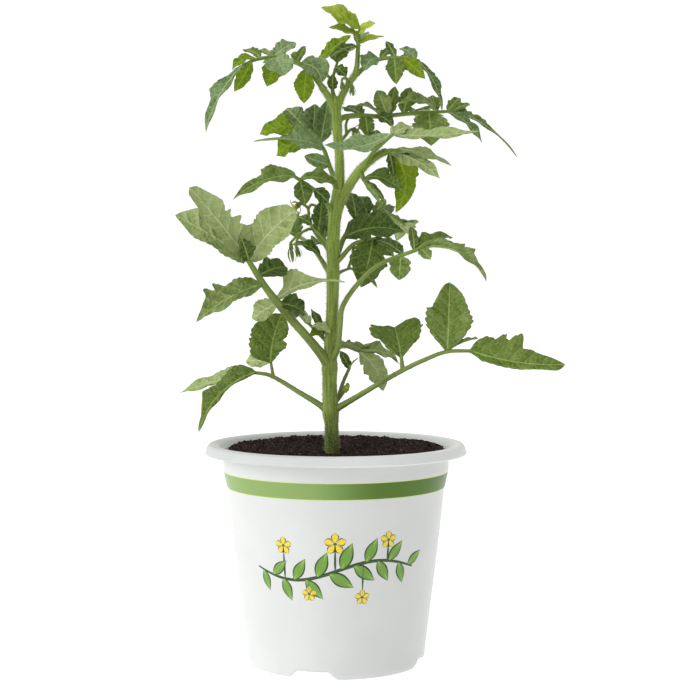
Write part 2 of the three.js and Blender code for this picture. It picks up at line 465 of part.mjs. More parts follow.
// Sprays of flower buds.
const FLOWERS = [
    {"name": "flowers_left",
     "stalks": [
        {"route": [[-1.3, 0, 181], [-5.4, 6, 187], [-9.4, 10, 192], [-12, 12, 198], [-12.6, 12.6, 203],
            [-16, 12, 205.6]], "thick": [2.2, 1.6, 1.4, 1.3, 1.2, 1.1]},
        {"route": [[-10.4, 10.8, 194], [-13, 7, 193.4], [-17, 2, 191],
            [-20.6, -1, 187.4]], "thick": [1.3, 1.2, 1.1, 1]},
        {"route": [[-15.6, 4, 192], [-17.6, 3.4, 188.6], [-18, 3, 185.6]], "thick": [1.1, 1, 1]},
        {"route": [[-12.6, 12.6, 202.8], [-11, 14, 204.6], [-8.8, 15, 204]], "thick": [1.2, 1.1, 1]}],
     "buds": [
        {"at": [-15.6, 12, 205.5], "tip": [-21, 11, 201.6], "wide": 3.6},
        {"at": [-20.4, -1, 187.8], "tip": [-19.4, -2, 178.6], "wide": 2.6},
        {"at": [-17.9, 3, 186.2], "tip": [-16, 3, 181], "wide": 2.4},
        {"at": [-9.2, 15, 204.1], "tip": [-6, 16, 202.4], "wide": 2.4}]},
    {"name": "flowers_top",
     "stalks": [
        {"route": [[4.2, 1, 256.4], [5.6, -1.6, 259], [6.8, -3, 259.4], [7.2, -3.4, 257.6]],
         "thick": [1.6, 1.3, 1.1, 1]},
        {"route": [[5.4, -1.4, 258.6], [4.6, -4, 261], [2.8, -5.4, 260.6], [2.6, -5.8, 259]],
         "thick": [1.3, 1.1, 1, 1]}],
     "buds": [
        {"at": [7.2, -3.4, 258], "tip": [7.6, -4, 253], "wide": 2.6},
        {"at": [2.6, -5.8, 259.4], "tip": [3.2, -6.6, 255.6], "wide": 2.2}]},
    {"name": "flowers_right",
     "stalks": [
        {"route": [[0.8, 0, 232], [3.6, 4, 234.6], [6, 7, 237.6],
            [7.6, 9, 238.6]], "thick": [2, 1.5, 1.2, 1]},
        {"route": [[4.8, 5.6, 236.2], [4.4, 7, 240], [5, 8.4, 242.4]], "thick": [1.3, 1.1, 1]}],
     "buds": [
        {"at": [7.2, 8.8, 238.6], "tip": [11, 10, 236.4], "wide": 3.6},
        {"at": [5, 8.2, 242], "tip": [5.6, 10, 245], "wide": 2.2}]},
];

// ---- materials ----------------------------------------------------------

const finish = (color, roughness) => new THREE.MeshStandardMaterial({ color, roughness, metalness: 0 });
const FINISH = {
  pot: finish('#f1f0ee', 0.4),
  soil: finish('#2c211c', 0.95),
  stem: finish('#728f3c', 0.6),
  leaf: finish('#66883f', 0.6),
  flower: finish('#a8a83c', 0.6),
};

// ---- helpers ------------------------------------------------------------

// Turns a closed geometry into a solid that can be joined and cut.
function solidFrom(geometry) {
  const bare = geometry.index ? geometry.toNonIndexed() : geometry.clone();
  bare.deleteAttribute('normal');
  bare.deleteAttribute('uv');
  const merged = mergeVertices(bare, 1e-4);
  return new wasm.Manifold(new wasm.Mesh({
    numProp: 3,
    vertProperties: new Float32Array(merged.attributes.position.array),
    triVerts: new Uint32Array(merged.index.array),
  }));
}

// Turns a solid back into a named mesh with its finish.
function meshFrom(name, solid, material) {
  const mesh = solid.getMesh();
  const geometry = new THREE.BufferGeometry();
  geometry.setAttribute('position', new THREE.BufferAttribute(new Float32Array(mesh.vertProperties), 3));
  geometry.setIndex(new THREE.BufferAttribute(new Uint32Array(mesh.triVerts), 1));
  geometry.computeVertexNormals();
  const result = new THREE.Mesh(geometry, material.clone());
  result.name = name;
  return result;
}

// Joins solids, and keeps the largest body in case a crossing leaves a scrap.
function join(solids) {
  return solids.reduce((whole, next) => whole.add(next));
}

function largestBody(solid) {
  return solid.decompose().reduce((best, next) => (next.volume() > best.volume() ? next : best));
}

function geometryFrom(vertices, faces) {
  const geometry = new THREE.BufferGeometry();
  const numbers = vertices.flatMap((v) => v.toArray());
  geometry.setAttribute('position', new THREE.Float32BufferAttribute(numbers, 3));
  geometry.setIndex(faces.flat());
  return geometry;
}

// Moves a layout point out along its line of sight to its real place.
function place([across, back, up]) {
  const stretch = (back - EYE.y) / -EYE.y;
  return new THREE.Vector3(
    EYE.x + (across - EYE.x) * stretch,
    back,
    EYE.z + (up + PLANT_RISE - EYE.z) * stretch,
  );
}

// ---- stems and stalks ---------------------------------------------------

// A closed tube along a smooth curve through the points, whose thickness
// changes from point to point. Rings follow the curve without twisting.
function taperedTube({ route, thick }, sides, steps, extra = 0) {
  const points = route.map(place);
  const curve = new THREE.CatmullRomCurve3(points, false, 'catmullrom', 0.5);
  const count = (points.length - 1) * steps;
  const vertices = [];
  const faces = [];
  let normal = new THREE.Vector3(1, 0.3, 0.2);
  for (let i = 0; i <= count; i += 1) {
    const at = i / count;
    const center = curve.getPoint(at);
    const along = curve.getTangent(at);
    normal = normal.addScaledVector(along, -normal.dot(along)).normalize();
    const across = new THREE.Vector3().crossVectors(along, normal);
    const span = Math.min(Math.floor(at * (thick.length - 1)), thick.length - 2);
    const share = at * (thick.length - 1) - span;
    const radius = THREE.MathUtils.lerp(thick[span], thick[span + 1], share) / 2 + extra;
    for (let k = 0; k < sides; k += 1) {
      const angle = (2 * Math.PI * k) / sides;
      vertices.push(center.clone()
        .addScaledVector(normal, radius * Math.cos(angle))
        .addScaledVector(across, radius * Math.sin(angle)));
    }
  }
  for (let i = 0; i < count; i += 1) {
    for (let k = 0; k < sides; k += 1) {
      const a = i * sides + k;
      const b = i * sides + ((k + 1) % sides);
      faces.push([a, b, b + sides], [a, b + sides, a + sides]);
    }
  }
  for (let k = 1; k < sides - 1; k += 1) {
    faces.push([0, k + 1, k]);
    faces.push([count * sides, count * sides + k, count * sides + k + 1]);
  }
  return solidFrom(geometryFrom(vertices, faces));
}

// ---- leaflets -----------------------------------------------------------

// The smooth arched line of a midrib: a quadratic curve from neck to tip that
// rises towards the upper face by `arch` and leans to one side by `bend`.
function midrib({ at, tip, face, arch = 0, bend = 0 }) {
  const start = place(at);
  const end = place(tip);
  const axis = end.clone().sub(start).normalize();
  const up = new THREE.Vector3(...face);
  up.addScaledVector(axis, -up.dot(axis)).normalize();
  const side = new THREE.Vector3().crossVectors(up, axis);
  const control = start.clone().add(end).multiplyScalar(0.5)
    .addScaledVector(up, 2 * arch).addScaledVector(side, 2 * bend);
  const curve = new THREE.QuadraticBezierCurve3(start, control, end);
  return { curve, side, length: start.distanceTo(end) };
}

function outlineFor(length) {
  if (length >= LONG_FROM) return LONG_OUTLINE;
  return length >= MIDDLE_FROM ? MIDDLE_OUTLINE : SHORT_OUTLINE;
}

// One leaflet: two thin halves that lift off the midrib, with toothed edges.
// Each station has its left edge, midrib and right edge, on both faces, and
// both faces are split into the same triangles.
function leaflet(blade) {
  const { curve, side, length } = midrib(blade);
  const cup = blade.cup ?? BLADE_CUP;
  const vertices = [];
  const faces = [];
  const stations = outlineFor(length);
  stations.forEach(([s, share]) => {
    const center = curve.getPoint(s);
    const along = curve.getTangent(s);
    const across = side.clone().addScaledVector(along, -side.dot(along)).normalize();
    const up = new THREE.Vector3().crossVectors(along, across);
    const half = (share * blade.wide) / 2;
    const lean = TOOTH_LEAN * (1 - s) * half;
    [-1, 0, 1].forEach((hand) => {
      const point = center.clone().addScaledVector(across, hand * half)
        .addScaledVector(along, Math.abs(hand) * lean)
        .addScaledVector(up, Math.abs(hand) * half * cup);
      vertices.push(point.clone().addScaledVector(up, BLADE_THICK / 2));
      vertices.push(point.addScaledVector(up, -BLADE_THICK / 2));
    });
  });
  const quad = (a, b, c, d) => faces.push([a, c, b], [a, d, c]);
  for (let i = 0; i < stations.length - 1; i += 1) {
    const a = i * 6;
    const b = a + 6;
    quad(a, a + 2, b + 2, b);
    quad(a + 2, a + 4, b + 4, b + 2);
    quad(b + 1, b + 3, a + 3, a + 1);
    quad(b + 3, b + 5, a + 5, a + 3);
    quad(a + 1, a, b, b + 1);
    quad(a + 4, a + 5, b + 5, b + 4);
  }
  const last = (stations.length - 1) * 6;
  quad(0, 1, 3, 2);
  quad(2, 3, 5, 4);
  quad(last + 1, last, last + 2, last + 3);
  quad(last + 3, last + 2, last + 4, last + 5);
  return solidFrom(geometryFrom(vertices, faces));
}

// ---- flower buds --------------------------------------------------------

function bud({ at, tip, wide }) {
  const start = place(at);
  const end = place(tip);
  const along = end.clone().sub(start);
  const profile = BUD_OUTLINE.map(([s, share]) => new THREE.Vector2((share * wide) / 2, s * along.length()));
  const closed = [new THREE.Vector2(0, 0), ...profile, new THREE.Vector2(0, along.length())];
  const geometry = new THREE.LatheGeometry(closed, BUD_SIDES);
  geometry.applyQuaternion(new THREE.Quaternion()
    .setFromUnitVectors(new THREE.Vector3(0, 1, 0), along.clone().normalize()));
  geometry.translate(start.x, start.y, start.z);
  return solidFrom(geometry);
}

// ---- pot and soil -------------------------------------------------------

// A LatheGeometry stands on +Y, so it is turned to stand on +Z.
function turned(profile, sides) {
  const points = profile.map(([radius, height]) => new THREE.Vector2(radius, height));
  return new THREE.LatheGeometry(points, sides).rotateX(Math.PI / 2);
}

function makePot() {
  let pot = solidFrom(turned([...POT_OUTSIDE, ...POT_INSIDE], POT_SIDES));
  for (let i = 0; i < FOOT_GAP_COUNT; i += 1) {
    const turn = THREE.MathUtils.degToRad(FOOT_GAP_FIRST + (360 / FOOT_GAP_COUNT) * i);
    const low = FOOT_GAP_WIDTH_LOW / 2;
    const high = FOOT_GAP_WIDTH_HIGH / 2;
    const outline = new THREE.Shape([
      new THREE.Vector2(-low, -1), new THREE.Vector2(low, -1),
      new THREE.Vector2(high, FOOT_GAP_HEIGHT), new THREE.Vector2(-high, FOOT_GAP_HEIGHT),
    ]);
    const gap = new THREE.ExtrudeGeometry(outline, { depth: FOOT_GAP_DEPTH, bevelEnabled: false, steps: 1 });
    gap.rotateX(Math.PI / 2).translate(0, -FOOT_RADIUS + FOOT_GAP_DEPTH / 2, 0).rotateZ(turn);
    const radius = DRAIN_DIAMETER / 2;
    const drain = new THREE.CylinderGeometry(radius, radius, DRAIN_LENGTH, DRAIN_SIDES);
    drain.rotateX(Math.PI / 2).translate(0, -DRAIN_RADIUS, DRAIN_LEVEL).rotateZ(turn);
    pot = pot.subtract(solidFrom(gap)).subtract(solidFrom(drain));
  }
  return pot;
}

// The soil's lumps: a sum of waves about 12 to 20 mm long, from -1.6 to 1.6.
function lumpAt(x, y) {
  return Math.sin(0.31 * x + 1) * Math.cos(0.27 * y) + 0.6 * Math.sin(0.53 * x - 0.47 * y);
}

// The filling follows the pot's inside, one gap smaller, and its top runs
// ring by ring to the middle, with lumps.
function makeSoil(stemWithGap) {
  const wall = POT_INSIDE.slice(4).reverse().map(([radius, height]) => [
    Math.max(radius - SOIL_GAP, 0), height + SOIL_GAP,
  ]);
  const top = [SOIL_EDGE, ...SOIL_TOP, [0, SOIL_CROWN]];
  const geometry = turned([...wall, ...top], SOIL_SIDES);
  const position = geometry.attributes.position;
  const lowestTop = SOIL_CROWN - 1;
  for (let i = 0; i < position.count; i += 1) {
    const [x, y, z] = [position.getX(i), position.getY(i), position.getZ(i)];
    const isTop = z > lowestTop && Math.hypot(x, y) < SOIL_EDGE[0] - 0.1;
    if (isTop) position.setZ(i, z + SOIL_LUMP * lumpAt(x, y));
  }
  return solidFrom(geometry).subtract(stemWithGap);
}

// ---- assembly -----------------------------------------------------------

const stem = join(STEMS.map((part) => taperedTube(part, STEM_SIDES, STEM_STEPS)));
const stemWithGap = join(STEMS.map((part) => taperedTube(part, STEM_SIDES, STEM_STEPS, FIT_GAP)));
const stalkTubes = (stalks) => stalks.map((part) => taperedTube(part, STALK_SIDES, STALK_STEPS));

const plant = new THREE.Group();
plant.add(meshFrom('pot', makePot(), FINISH.pot));
plant.add(meshFrom('soil', makeSoil(stemWithGap), FINISH.soil));
plant.add(meshFrom('stem', stem, FINISH.stem));
LEAVES.forEach(({ name, stalks, blades }) => {
  const whole = join([...stalkTubes(stalks), ...blades.map(leaflet)]);
  plant.add(meshFrom(name, largestBody(whole.subtract(stemWithGap)), FINISH.leaf));
});
FLOWERS.forEach(({ name, stalks, buds }) => {
  const whole = join([...stalkTubes(stalks), ...buds.map(bud)]);
  plant.add(meshFrom(name, largestBody(whole.subtract(stemWithGap)), FINISH.flower));
});

export default plant;
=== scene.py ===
# %% [markdown]
# # A young tomato plant in a nursery pot
#
# The real object is a tomato seedling about 20 cm tall in a thin white plastic
# pot with a green band round it and a small printed ornament. This file dresses
# a imported model, whose plain solids give the sizes, with fine surfaces and
# finishes.
#
# Every new surface here is worked out with numpy as a function of two
# parameters on a grid. That is longer to write than sculpting, but each leaf,
# stalk and ring can be read, changed and made again from a few numbers.
#
# The first cell opens the imported model, bakes each mesh's place into its
# points and drops all that is not a mesh.

# %% Open the frame
import math

import bpy
import numpy as np
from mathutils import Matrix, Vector


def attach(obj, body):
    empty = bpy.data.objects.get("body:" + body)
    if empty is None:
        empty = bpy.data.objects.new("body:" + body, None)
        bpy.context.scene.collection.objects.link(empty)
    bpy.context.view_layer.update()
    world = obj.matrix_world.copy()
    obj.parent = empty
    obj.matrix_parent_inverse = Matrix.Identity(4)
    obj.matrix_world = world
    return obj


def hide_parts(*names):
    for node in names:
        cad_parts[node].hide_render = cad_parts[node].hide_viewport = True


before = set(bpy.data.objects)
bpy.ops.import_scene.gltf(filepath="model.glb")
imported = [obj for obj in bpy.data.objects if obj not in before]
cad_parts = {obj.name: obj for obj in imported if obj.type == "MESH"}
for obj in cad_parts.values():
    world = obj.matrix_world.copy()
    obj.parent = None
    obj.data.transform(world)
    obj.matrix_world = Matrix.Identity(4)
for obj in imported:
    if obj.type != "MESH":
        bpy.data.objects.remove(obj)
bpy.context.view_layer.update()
print("nodes in the frame:", sorted(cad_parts))

# %% [markdown]
# ## The eye
#
# The plant was laid out as it looks from one place: straight in front, 700 mm
# away and 171.5 mm up, a little to the right. The camera stands there with a
# long lens and looks down by two and a half degrees, so near and far leaves
# keep their true proportions. The layout below works in millimetres, and
# Blender in metres.

# %% Camera
MM = 0.001
EYE = np.array([6.3, -700.0, 171.5])
LOOK_DOWN = 2.57
LENS = 80.0

camera_data = bpy.data.cameras.new("front camera")
camera_data.lens = LENS
camera_data.clip_start = 0.01
camera = bpy.data.objects.new("front camera", camera_data)
camera.location = EYE * MM
camera.rotation_euler = (math.radians(90 - LOOK_DOWN), 0, 0)
bpy.context.scene.collection.objects.link(camera)
bpy.context.scene.camera = camera
bpy.context.scene.view_settings.view_transform = "Standard"
print("camera", [round(float(v), 3) for v in camera.location], "lens", LENS)

# %% [markdown]
# ## A bench for materials
#
# A finish is a small network of nodes. Wiring one by hand in the editor is the
# usual way. A helper that adds one node per call keeps each recipe as short as
# the sentence that describes it, so the finishes below read from top to bottom:
# colour first, then gloss, then relief.

# %% A helper that wires one node per call
def ink(red, green, blue):
    """A screen colour, 0 to 255 a channel, as the linear colour that a shader takes."""
    share = np.array([red, green, blue]) / 255
    linear = np.where(share <= 0.04045, share / 12.92, ((share + 0.055) / 1.055) ** 2.4)
    return (*[float(v) for v in linear], 1.0)


class Bench:
    """A material that is being wired. Each call adds a node and returns its output."""

    def __init__(self, name):
        self.material = bpy.data.materials.new(name)
        self.material.use_nodes = True
        self.tree = self.material.node_tree
        self.tree.nodes.clear()

    def add(self, kind, sockets=None, output=0, **settings):
        """One node of this kind. A socket takes a number or another node's output."""
        node = self.tree.nodes.new("ShaderNode" + kind)
        for key, value in settings.items():
            setattr(node, key, value)
        for key, value in (sockets or {}).items():
            if isinstance(value, bpy.types.NodeSocket):
                self.tree.links.new(value, node.inputs[key])
            else:
                node.inputs[key].default_value = value
        return node.outputs[output] if node.outputs else node

    def math(self, operation, first, second=0.0, third=0.0):
        """A sum, a product or another operation on up to three numbers."""
        return self.add("Math", {0: first, 1: second, 2: third}, operation=operation)

    def step(self, value, low, high, at_low=0.0, at_high=1.0):
        """Eases from at_low to at_high while value goes from low to high."""
        sockets = {0: value, 1: low, 2: high, 3: at_low, 4: at_high}
        return self.add("MapRange", sockets, interpolation_type="SMOOTHSTEP")

    def mix(self, share, first, second):
        """The first colour where share is 0, and the second where it is 1."""
        return self.add("Mix", {0: share, 6: first, 7: second}, output=2, data_type="RGBA")

    def mark(self, name):
        """A number that was written to the mesh's points."""
        return self.add("Attribute", output=2, attribute_name=name)

    def place(self):
        """The point's place on the piece, in millimetres."""
        coordinates = self.add("TexCoord", output=3)
        return self.add("VectorMath", {0: coordinates, 3: 1 / MM}, operation="SCALE")

    def noise(self, where, scale, detail=2.0, rough=0.5):
        """Smooth random numbers round 0.5 that change about scale times in a millimetre."""
        sockets = {"Vector": where, "Scale": scale, "Detail": detail, "Roughness": rough}
        return self.add("TexNoise", sockets)

    def relief(self, height, deep, under=None):
        """A bump of the given depth in millimetres."""
        sockets = {"Height": height, "Distance": deep * MM}
        if under is not None:
            sockets["Normal"] = under
        return self.add("Bump", sockets)

    def close(self, shader):
        """Wires the shader to the output, and gives the finished material."""
        self.add("OutputMaterial", {0: shader})
        return self.material


print("half of a screen's white is", round(ink(128, 128, 128)[0], 3), "in linear light")

# %% [markdown]
# ## From grids to pieces
#
# Nearly everything on a plant is a closed skin round a line: a stalk is a round
# one and a leaf blade a very flat one. So one helper turns a grid of points,
# rows along the line and columns round it, into such a skin, with a point at
# each end to close it. Another puts many skins into one mesh, with the numbers
# that the materials read, such as how far along the leaf a point is.

# %% Skins and pieces
def unit(vectors):
    """Each vector divided by its length."""
    vectors = np.asarray(vectors, float)
    return vectors / np.maximum(np.linalg.norm(vectors, axis=-1, keepdims=True), 1e-9)


def skin(points, finish=0, **marks):
    """A closed skin from points[row, column]. Four neighbours make a face, the
    columns meet again, and a fan of triangles to a middle point closes each end."""
    rows, columns = points.shape[:2]
    row, column = np.meshgrid(np.arange(rows - 1), np.arange(columns), indexing="ij")
    following = (column + 1) % columns
    faces = np.stack([row * columns + column, row * columns + following,
                      (row + 1) * columns + following, (row + 1) * columns + column], -1)
    ring = np.arange(columns)
    turned = (ring + 1) % columns
    first, last = rows * columns, rows * columns + 1
    base = (rows - 1) * columns
    start_fan = np.stack([np.full(columns, first), turned, ring], -1)
    end_fan = np.stack([np.full(columns, last), base + ring, base + turned], -1)
    ends = [points[0].mean(0), points[-1].mean(0)]
    out = {"points": np.vstack([points.reshape(-1, 3), ends]), "finish": finish,
           "faces": [faces.reshape(-1, 4), start_fan, end_fan], "marks": {}}
    for name, values in marks.items():
        values = np.broadcast_to(np.asarray(values, float), (rows, columns))
        out["marks"][name] = np.append(values.ravel(), [values[0].mean(), values[-1].mean()])
    return out


def piece(name, skins, materials, stands_for):
    """One mesh of all the skins, in metres, that rides on the pot and stands for a CAD node."""
    mesh = bpy.data.meshes.new(name)
    points = np.concatenate([s["points"] for s in skins]) * MM
    corners, sizes, finishes = [], [], []
    begin = 0
    for s in skins:
        for faces in s["faces"]:
            corners.append((faces + begin).ravel())
            sizes.append(np.full(len(faces), faces.shape[1]))
            finishes.append(np.full(len(faces), s["finish"]))
        begin += len(s["points"])
    corners, sizes, finishes = (np.concatenate(a) for a in (corners, sizes, finishes))
    mesh.vertices.add(len(points))
    mesh.vertices.foreach_set("co", points.ravel())
    mesh.loops.add(len(corners))
    mesh.loops.foreach_set("vertex_index", corners.astype(np.int32))
    mesh.polygons.add(len(sizes))
    mesh.polygons.foreach_set("loop_start", (np.cumsum(sizes) - sizes).astype(np.int32))
    for material in materials:
        mesh.materials.append(material)
    mesh.polygons.foreach_set("material_index", finishes.astype(np.int32))
    mesh.polygons.foreach_set("use_smooth", np.ones(len(sizes), bool))
    for mark in sorted({m for s in skins for m in s["marks"]}):
        values = [s["marks"].get(mark, np.zeros(len(s["points"]))) for s in skins]
        layer = mesh.attributes.new(mark, "FLOAT", "POINT")
        layer.data.foreach_set("value", np.concatenate(values).astype(np.float32))
    mesh.update(calc_edges=True)
    made = bpy.data.objects.new(name, mesh)
    bpy.context.scene.collection.objects.link(made)
    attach(made, "root")
    if stands_for:
        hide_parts(stands_for)
    triangles = int((sizes - 2).sum())
    print(f"{name}: {triangles} triangles")
    return made


# %% [markdown]
# ## The pot
#
# It is blown or pressed from one thin sheet: a tapering wall, a step outwards
# where the green band lies, a broad rolled rim, and a skirt round the foot with
# four gaps that let water run out. It could be drawn as a curve and spun with
# a Screw modifier. Working out the turned surface directly lets the foot gaps
# be part of the same grid, because only the height of a few rows has to change.
#
# The profile is a row of corners, radius and height in millimetres, each with
# the radius of its rounding. A rounding is a short curve that leaves one side
# of the corner and meets the other.

# %% Pot profile
POT_PROFILE = [
    (27, 0, 0.8), (28.2, 3.8, 0.8), (38.3, 3.8, 0.5), (38.75, 0, 0.35), (39.3, 0, 0.3),
    (40.0, 1.6, 1.2), (40.5, 7.6, 4), (46.15, 52.4, 30), (48.85, 78.8, 0.5), (49.2, 79.3, 0.4),
    (50.8, 86.8, 1.0), (50.85, 93.9, 0.8), (53.6, 96.5, 1.2), (56.4, 96.6, 0.9),
    (57.8, 93.8, 0.3), (58.7, 93.7, 0.35), (59.0, 94.3, 0.4), (57.5, 98.15, 1.3),
    (53.2, 98.1, 1.8), (49.9, 94.4, 1.5), (49.9, 87.1, 1.0), (48.0, 79.2, 0.8),
    (45.15, 52.6, 30), (39.4, 7.8, 2), (39.1, 4.9, 0.5), (28.9, 4.9, 0.5), (27.7, 1.2, 0.6),
]


def rounded(corners, bend_steps=5, longest=2.5):
    """The profile with each corner replaced by a quadratic curve between two points
    on its sides, and long straight runs cut into steps."""
    spots = np.array([c[:2] for c in corners], float)
    line = [np.array([[0.0, spots[0, 1]]])]
    share = np.linspace(0, 1, bend_steps + 1)[:, None]
    before = np.vstack([[0, spots[0, 1]], spots[:-1]])
    after = np.vstack([spots[1:], [0, spots[-1, 1]]])
    for spot, back, on, corner in zip(spots, before, after, corners):
        reach = min(corner[2], 0.49 * np.linalg.norm(back - spot), 0.49 * np.linalg.norm(on - spot))
        enter, leave = spot + reach * unit(back - spot), spot + reach * unit(on - spot)
        pieces = max(1, int(np.ceil(np.linalg.norm(enter - line[-1][-1]) / longest)))
        run = np.linspace(0, 1, pieces + 1)[1:-1, None]
        line.append(line[-1][-1] + run * (enter - line[-1][-1]))
        line = [part for part in line if len(part)]
        line.append((1 - share) ** 2 * enter + 2 * share * (1 - share) * spot + share ** 2 * leave)
    return np.vstack(line)[1:]


profile = rounded(POT_PROFILE)
print("pot profile:", len(profile), "points")

# %% [markdown]
# The foot gaps are cut by lifting: where the skirt would stand in a gap, its
# points are raised to the gap's edge. The gap's shape is a trapezium, so the
# lift is a straight slope on each side, held level in the middle. Extra columns
# fall exactly on the four corners of every gap, to keep them crisp.

# %% Pot shell
POT_COLUMNS = 288
SKIRT_FROM, SKIRT_TO = 37.5, 41.0
FOOT_RADIUS = 39.5
FOOT_GAPS = 4
FOOT_GAP_FIRST = -14.5
FOOT_GAP_HEIGHT = 3.5
FOOT_GAP_HALF_LOW = 10.9
FOOT_GAP_HALF_HIGH = 6.9
GAP_MIDDLES = np.radians(FOOT_GAP_FIRST + 360 / FOOT_GAPS * np.arange(FOOT_GAPS))


def ring_angles():
    """Even turns, with further ones at the corners of the foot gaps."""
    halves = np.array([-1, 1]) * np.array([[FOOT_GAP_HALF_LOW], [FOOT_GAP_HALF_HIGH]]) / FOOT_RADIUS
    extra = (GAP_MIDDLES[:, None] + halves.ravel()[None]).ravel() % (2 * np.pi)
    even = 2 * np.pi * np.arange(POT_COLUMNS) / POT_COLUMNS
    return np.sort(np.unique(np.append(even, extra).round(6)))


def gap_lift(turn):
    """How high the skirt's edge stands: full height near a gap's middle, falling
    in a straight line to nothing at its low corners."""
    away = np.abs((turn[:, None] - GAP_MIDDLES + np.pi) % (2 * np.pi) - np.pi).min(1) * FOOT_RADIUS
    slope = (FOOT_GAP_HALF_LOW - away) / (FOOT_GAP_HALF_LOW - FOOT_GAP_HALF_HIGH)
    return FOOT_GAP_HEIGHT * np.clip(slope, 0, 1)


def turned(line, turn):
    """Each profile point carried round the pot: turn 0 faces the front, -Y."""
    radius, height = line[:, 0][:, None], np.repeat(line[:, 1][:, None], len(turn), 1)
    return np.stack([radius * np.sin(turn), -radius * np.cos(turn), height], -1)


turn = ring_angles()
pot_points = turned(profile, turn)
skirt = (profile[:, 0] > SKIRT_FROM) & (profile[:, 0] < SKIRT_TO)
pot_points[skirt, :, 2] = np.maximum(pot_points[skirt, :, 2], gap_lift(turn)[None])
print("pot shell:", len(profile), "rings of", len(turn), "points")

# %% [markdown]
# ## White plastic with a printed band
#
# The pot is white polypropylene with a soft gloss. The real sheet is never
# perfectly even: it carries a faint cloudiness, a fine orange-peel texture, and
# a little dust of soil near the rim and the foot. The green band is printed, so
# it is only a colour between two heights. Along both of its edges the ink thins
# out to a pale yellow-green line, and its height wanders by a hair. The band's
# deep green turns paler towards the left: a painted reflection of the main light,
# which comes from the left. The lip of the rim is greyer than the wall on the
# left and brighter on the right: painted shade on the left and a painted
# highlight on the right.

# %% Pot plastic
BAND_LOW = 78.5
BAND_HIGH = 86.6
BAND_FRINGE = 0.45
INK_EDGE = 0.22
# The paler green carries a painted reflection of the main light on the band's left.
GREEN_INK_WITH_PAINTED_REFLECTION = ink(137, 166, 94)
GREEN_INK_DEEP = ink(78, 114, 22)
FRINGE_INK = ink(208, 220, 160)
WHITE_PLASTIC = ink(217, 219, 217)
# Painted shade and a painted highlight for the lip of the rim.
RIM_PAINTED_SHADE = ink(202, 205, 203)
RIM_PAINTED_HIGHLIGHT = ink(228, 230, 228)


def pot_plastic():
    """White with clouds and dust, then the lip, with painted shade on its left and a
    painted highlight on its right, then the band where the height is between its two
    edges: first the fringe's ink, and the green a little way inside it, paler on the
    left by a painted reflection."""
    bench = Bench("white pot plastic")
    place = bench.place()
    axes = bench.add("SeparateXYZ", {0: place}).node.outputs
    sideways, height = axes[0], axes[2]
    cloud = bench.noise(place, 0.05, 3.0)
    dust = bench.step(bench.noise(place, 1.6, 4.0, 0.7), 0.66, 0.78)
    low_down = bench.step(height, 1.0, 14.0, 1.0, 0.0)
    inside_rim = bench.step(height, 91.5, 95.5)
    dusty = bench.math("MULTIPLY", dust, bench.math("MAXIMUM", low_down, inside_rim))
    white = bench.mix(bench.step(cloud, 0.35, 0.7), WHITE_PLASTIC, ink(214, 216, 214))
    white = bench.mix(bench.math("MULTIPLY", dusty, 0.12), white, ink(150, 128, 105))
    flat = bench.add("VectorMath", {0: place, 1: (1, 1, 0)}, operation="MULTIPLY")
    radius = bench.add("VectorMath", {0: flat}, output=1, operation="LENGTH")
    outside = bench.step(radius, 48.4, 48.7)
    wander = bench.math("MULTIPLY_ADD", bench.noise(place, 0.8, 2.0), 0.12, height)
    # Painted reflection: the band's green turns paler towards the left, where the main light falls.
    green = bench.mix(bench.step(sideways, -15.0, 22.0), GREEN_INK_WITH_PAINTED_REFLECTION, GREEN_INK_DEEP)
    lip = bench.math("MULTIPLY", bench.step(radius, 53.2, 54.2), bench.step(height, 92.5, 93.2))
    # Painted shade on the lip's left, turning to a painted highlight on its right.
    rim = bench.mix(bench.step(sideways, -30.0, 20.0), RIM_PAINTED_SHADE, RIM_PAINTED_HIGHLIGHT)
    colour = bench.mix(lip, white, rim)
    for inset, coat in ((0.0, FRINGE_INK), (BAND_FRINGE, green)):
        low, high = BAND_LOW + inset, BAND_HIGH - inset
        rising = bench.step(wander, low, low + INK_EDGE)
        falling = bench.step(wander, high - INK_EDGE, high, 1.0, 0.0)
        band = bench.math("MULTIPLY", bench.math("MULTIPLY", rising, falling), outside)
        colour = bench.mix(band, colour, coat)
    peel = bench.noise(place, 1.3, 2.0, 0.4)
    gloss = bench.math("MULTIPLY_ADD", bench.noise(place, 0.3, 3.0), 0.16, 0.24)
    shader = bench.add("BsdfPrincipled", {
        "Base Color": colour, "Roughness": gloss, "Normal": bench.relief(peel, 0.02),
        "Specular IOR Level": 0.35})
    return bench.close(shader)


POT_PLASTIC = pot_plastic()
pot = piece("pot_shell", [skin(pot_points)], [POT_PLASTIC], "pot")

# %% [markdown]
# ## Drain holes
#
# Behind each foot gap the floor has one small round hole. A Boolean modifier
# with four pins as its cutter is the plain way to drill through both sides of
# the floor. The result is kept as the pot's own mesh, and the pins go.

# %% Drill the floor
DRAIN_RADIUS = 33.5
DRAIN_DIAMETER = 3.4


def pin(turn, low=2.5, high=6.5, sides=20):
    """An upright round pin: two rings of points at one radius, closed at both ends."""
    around = 2 * np.pi * np.arange(sides) / sides
    middle = DRAIN_RADIUS * np.array([np.sin(turn), -np.cos(turn)])
    ring = middle + DRAIN_DIAMETER / 2 * np.stack([np.cos(around), np.sin(around)], -1)
    return np.stack([np.column_stack([ring, np.full(sides, z)]) for z in (low, high)])


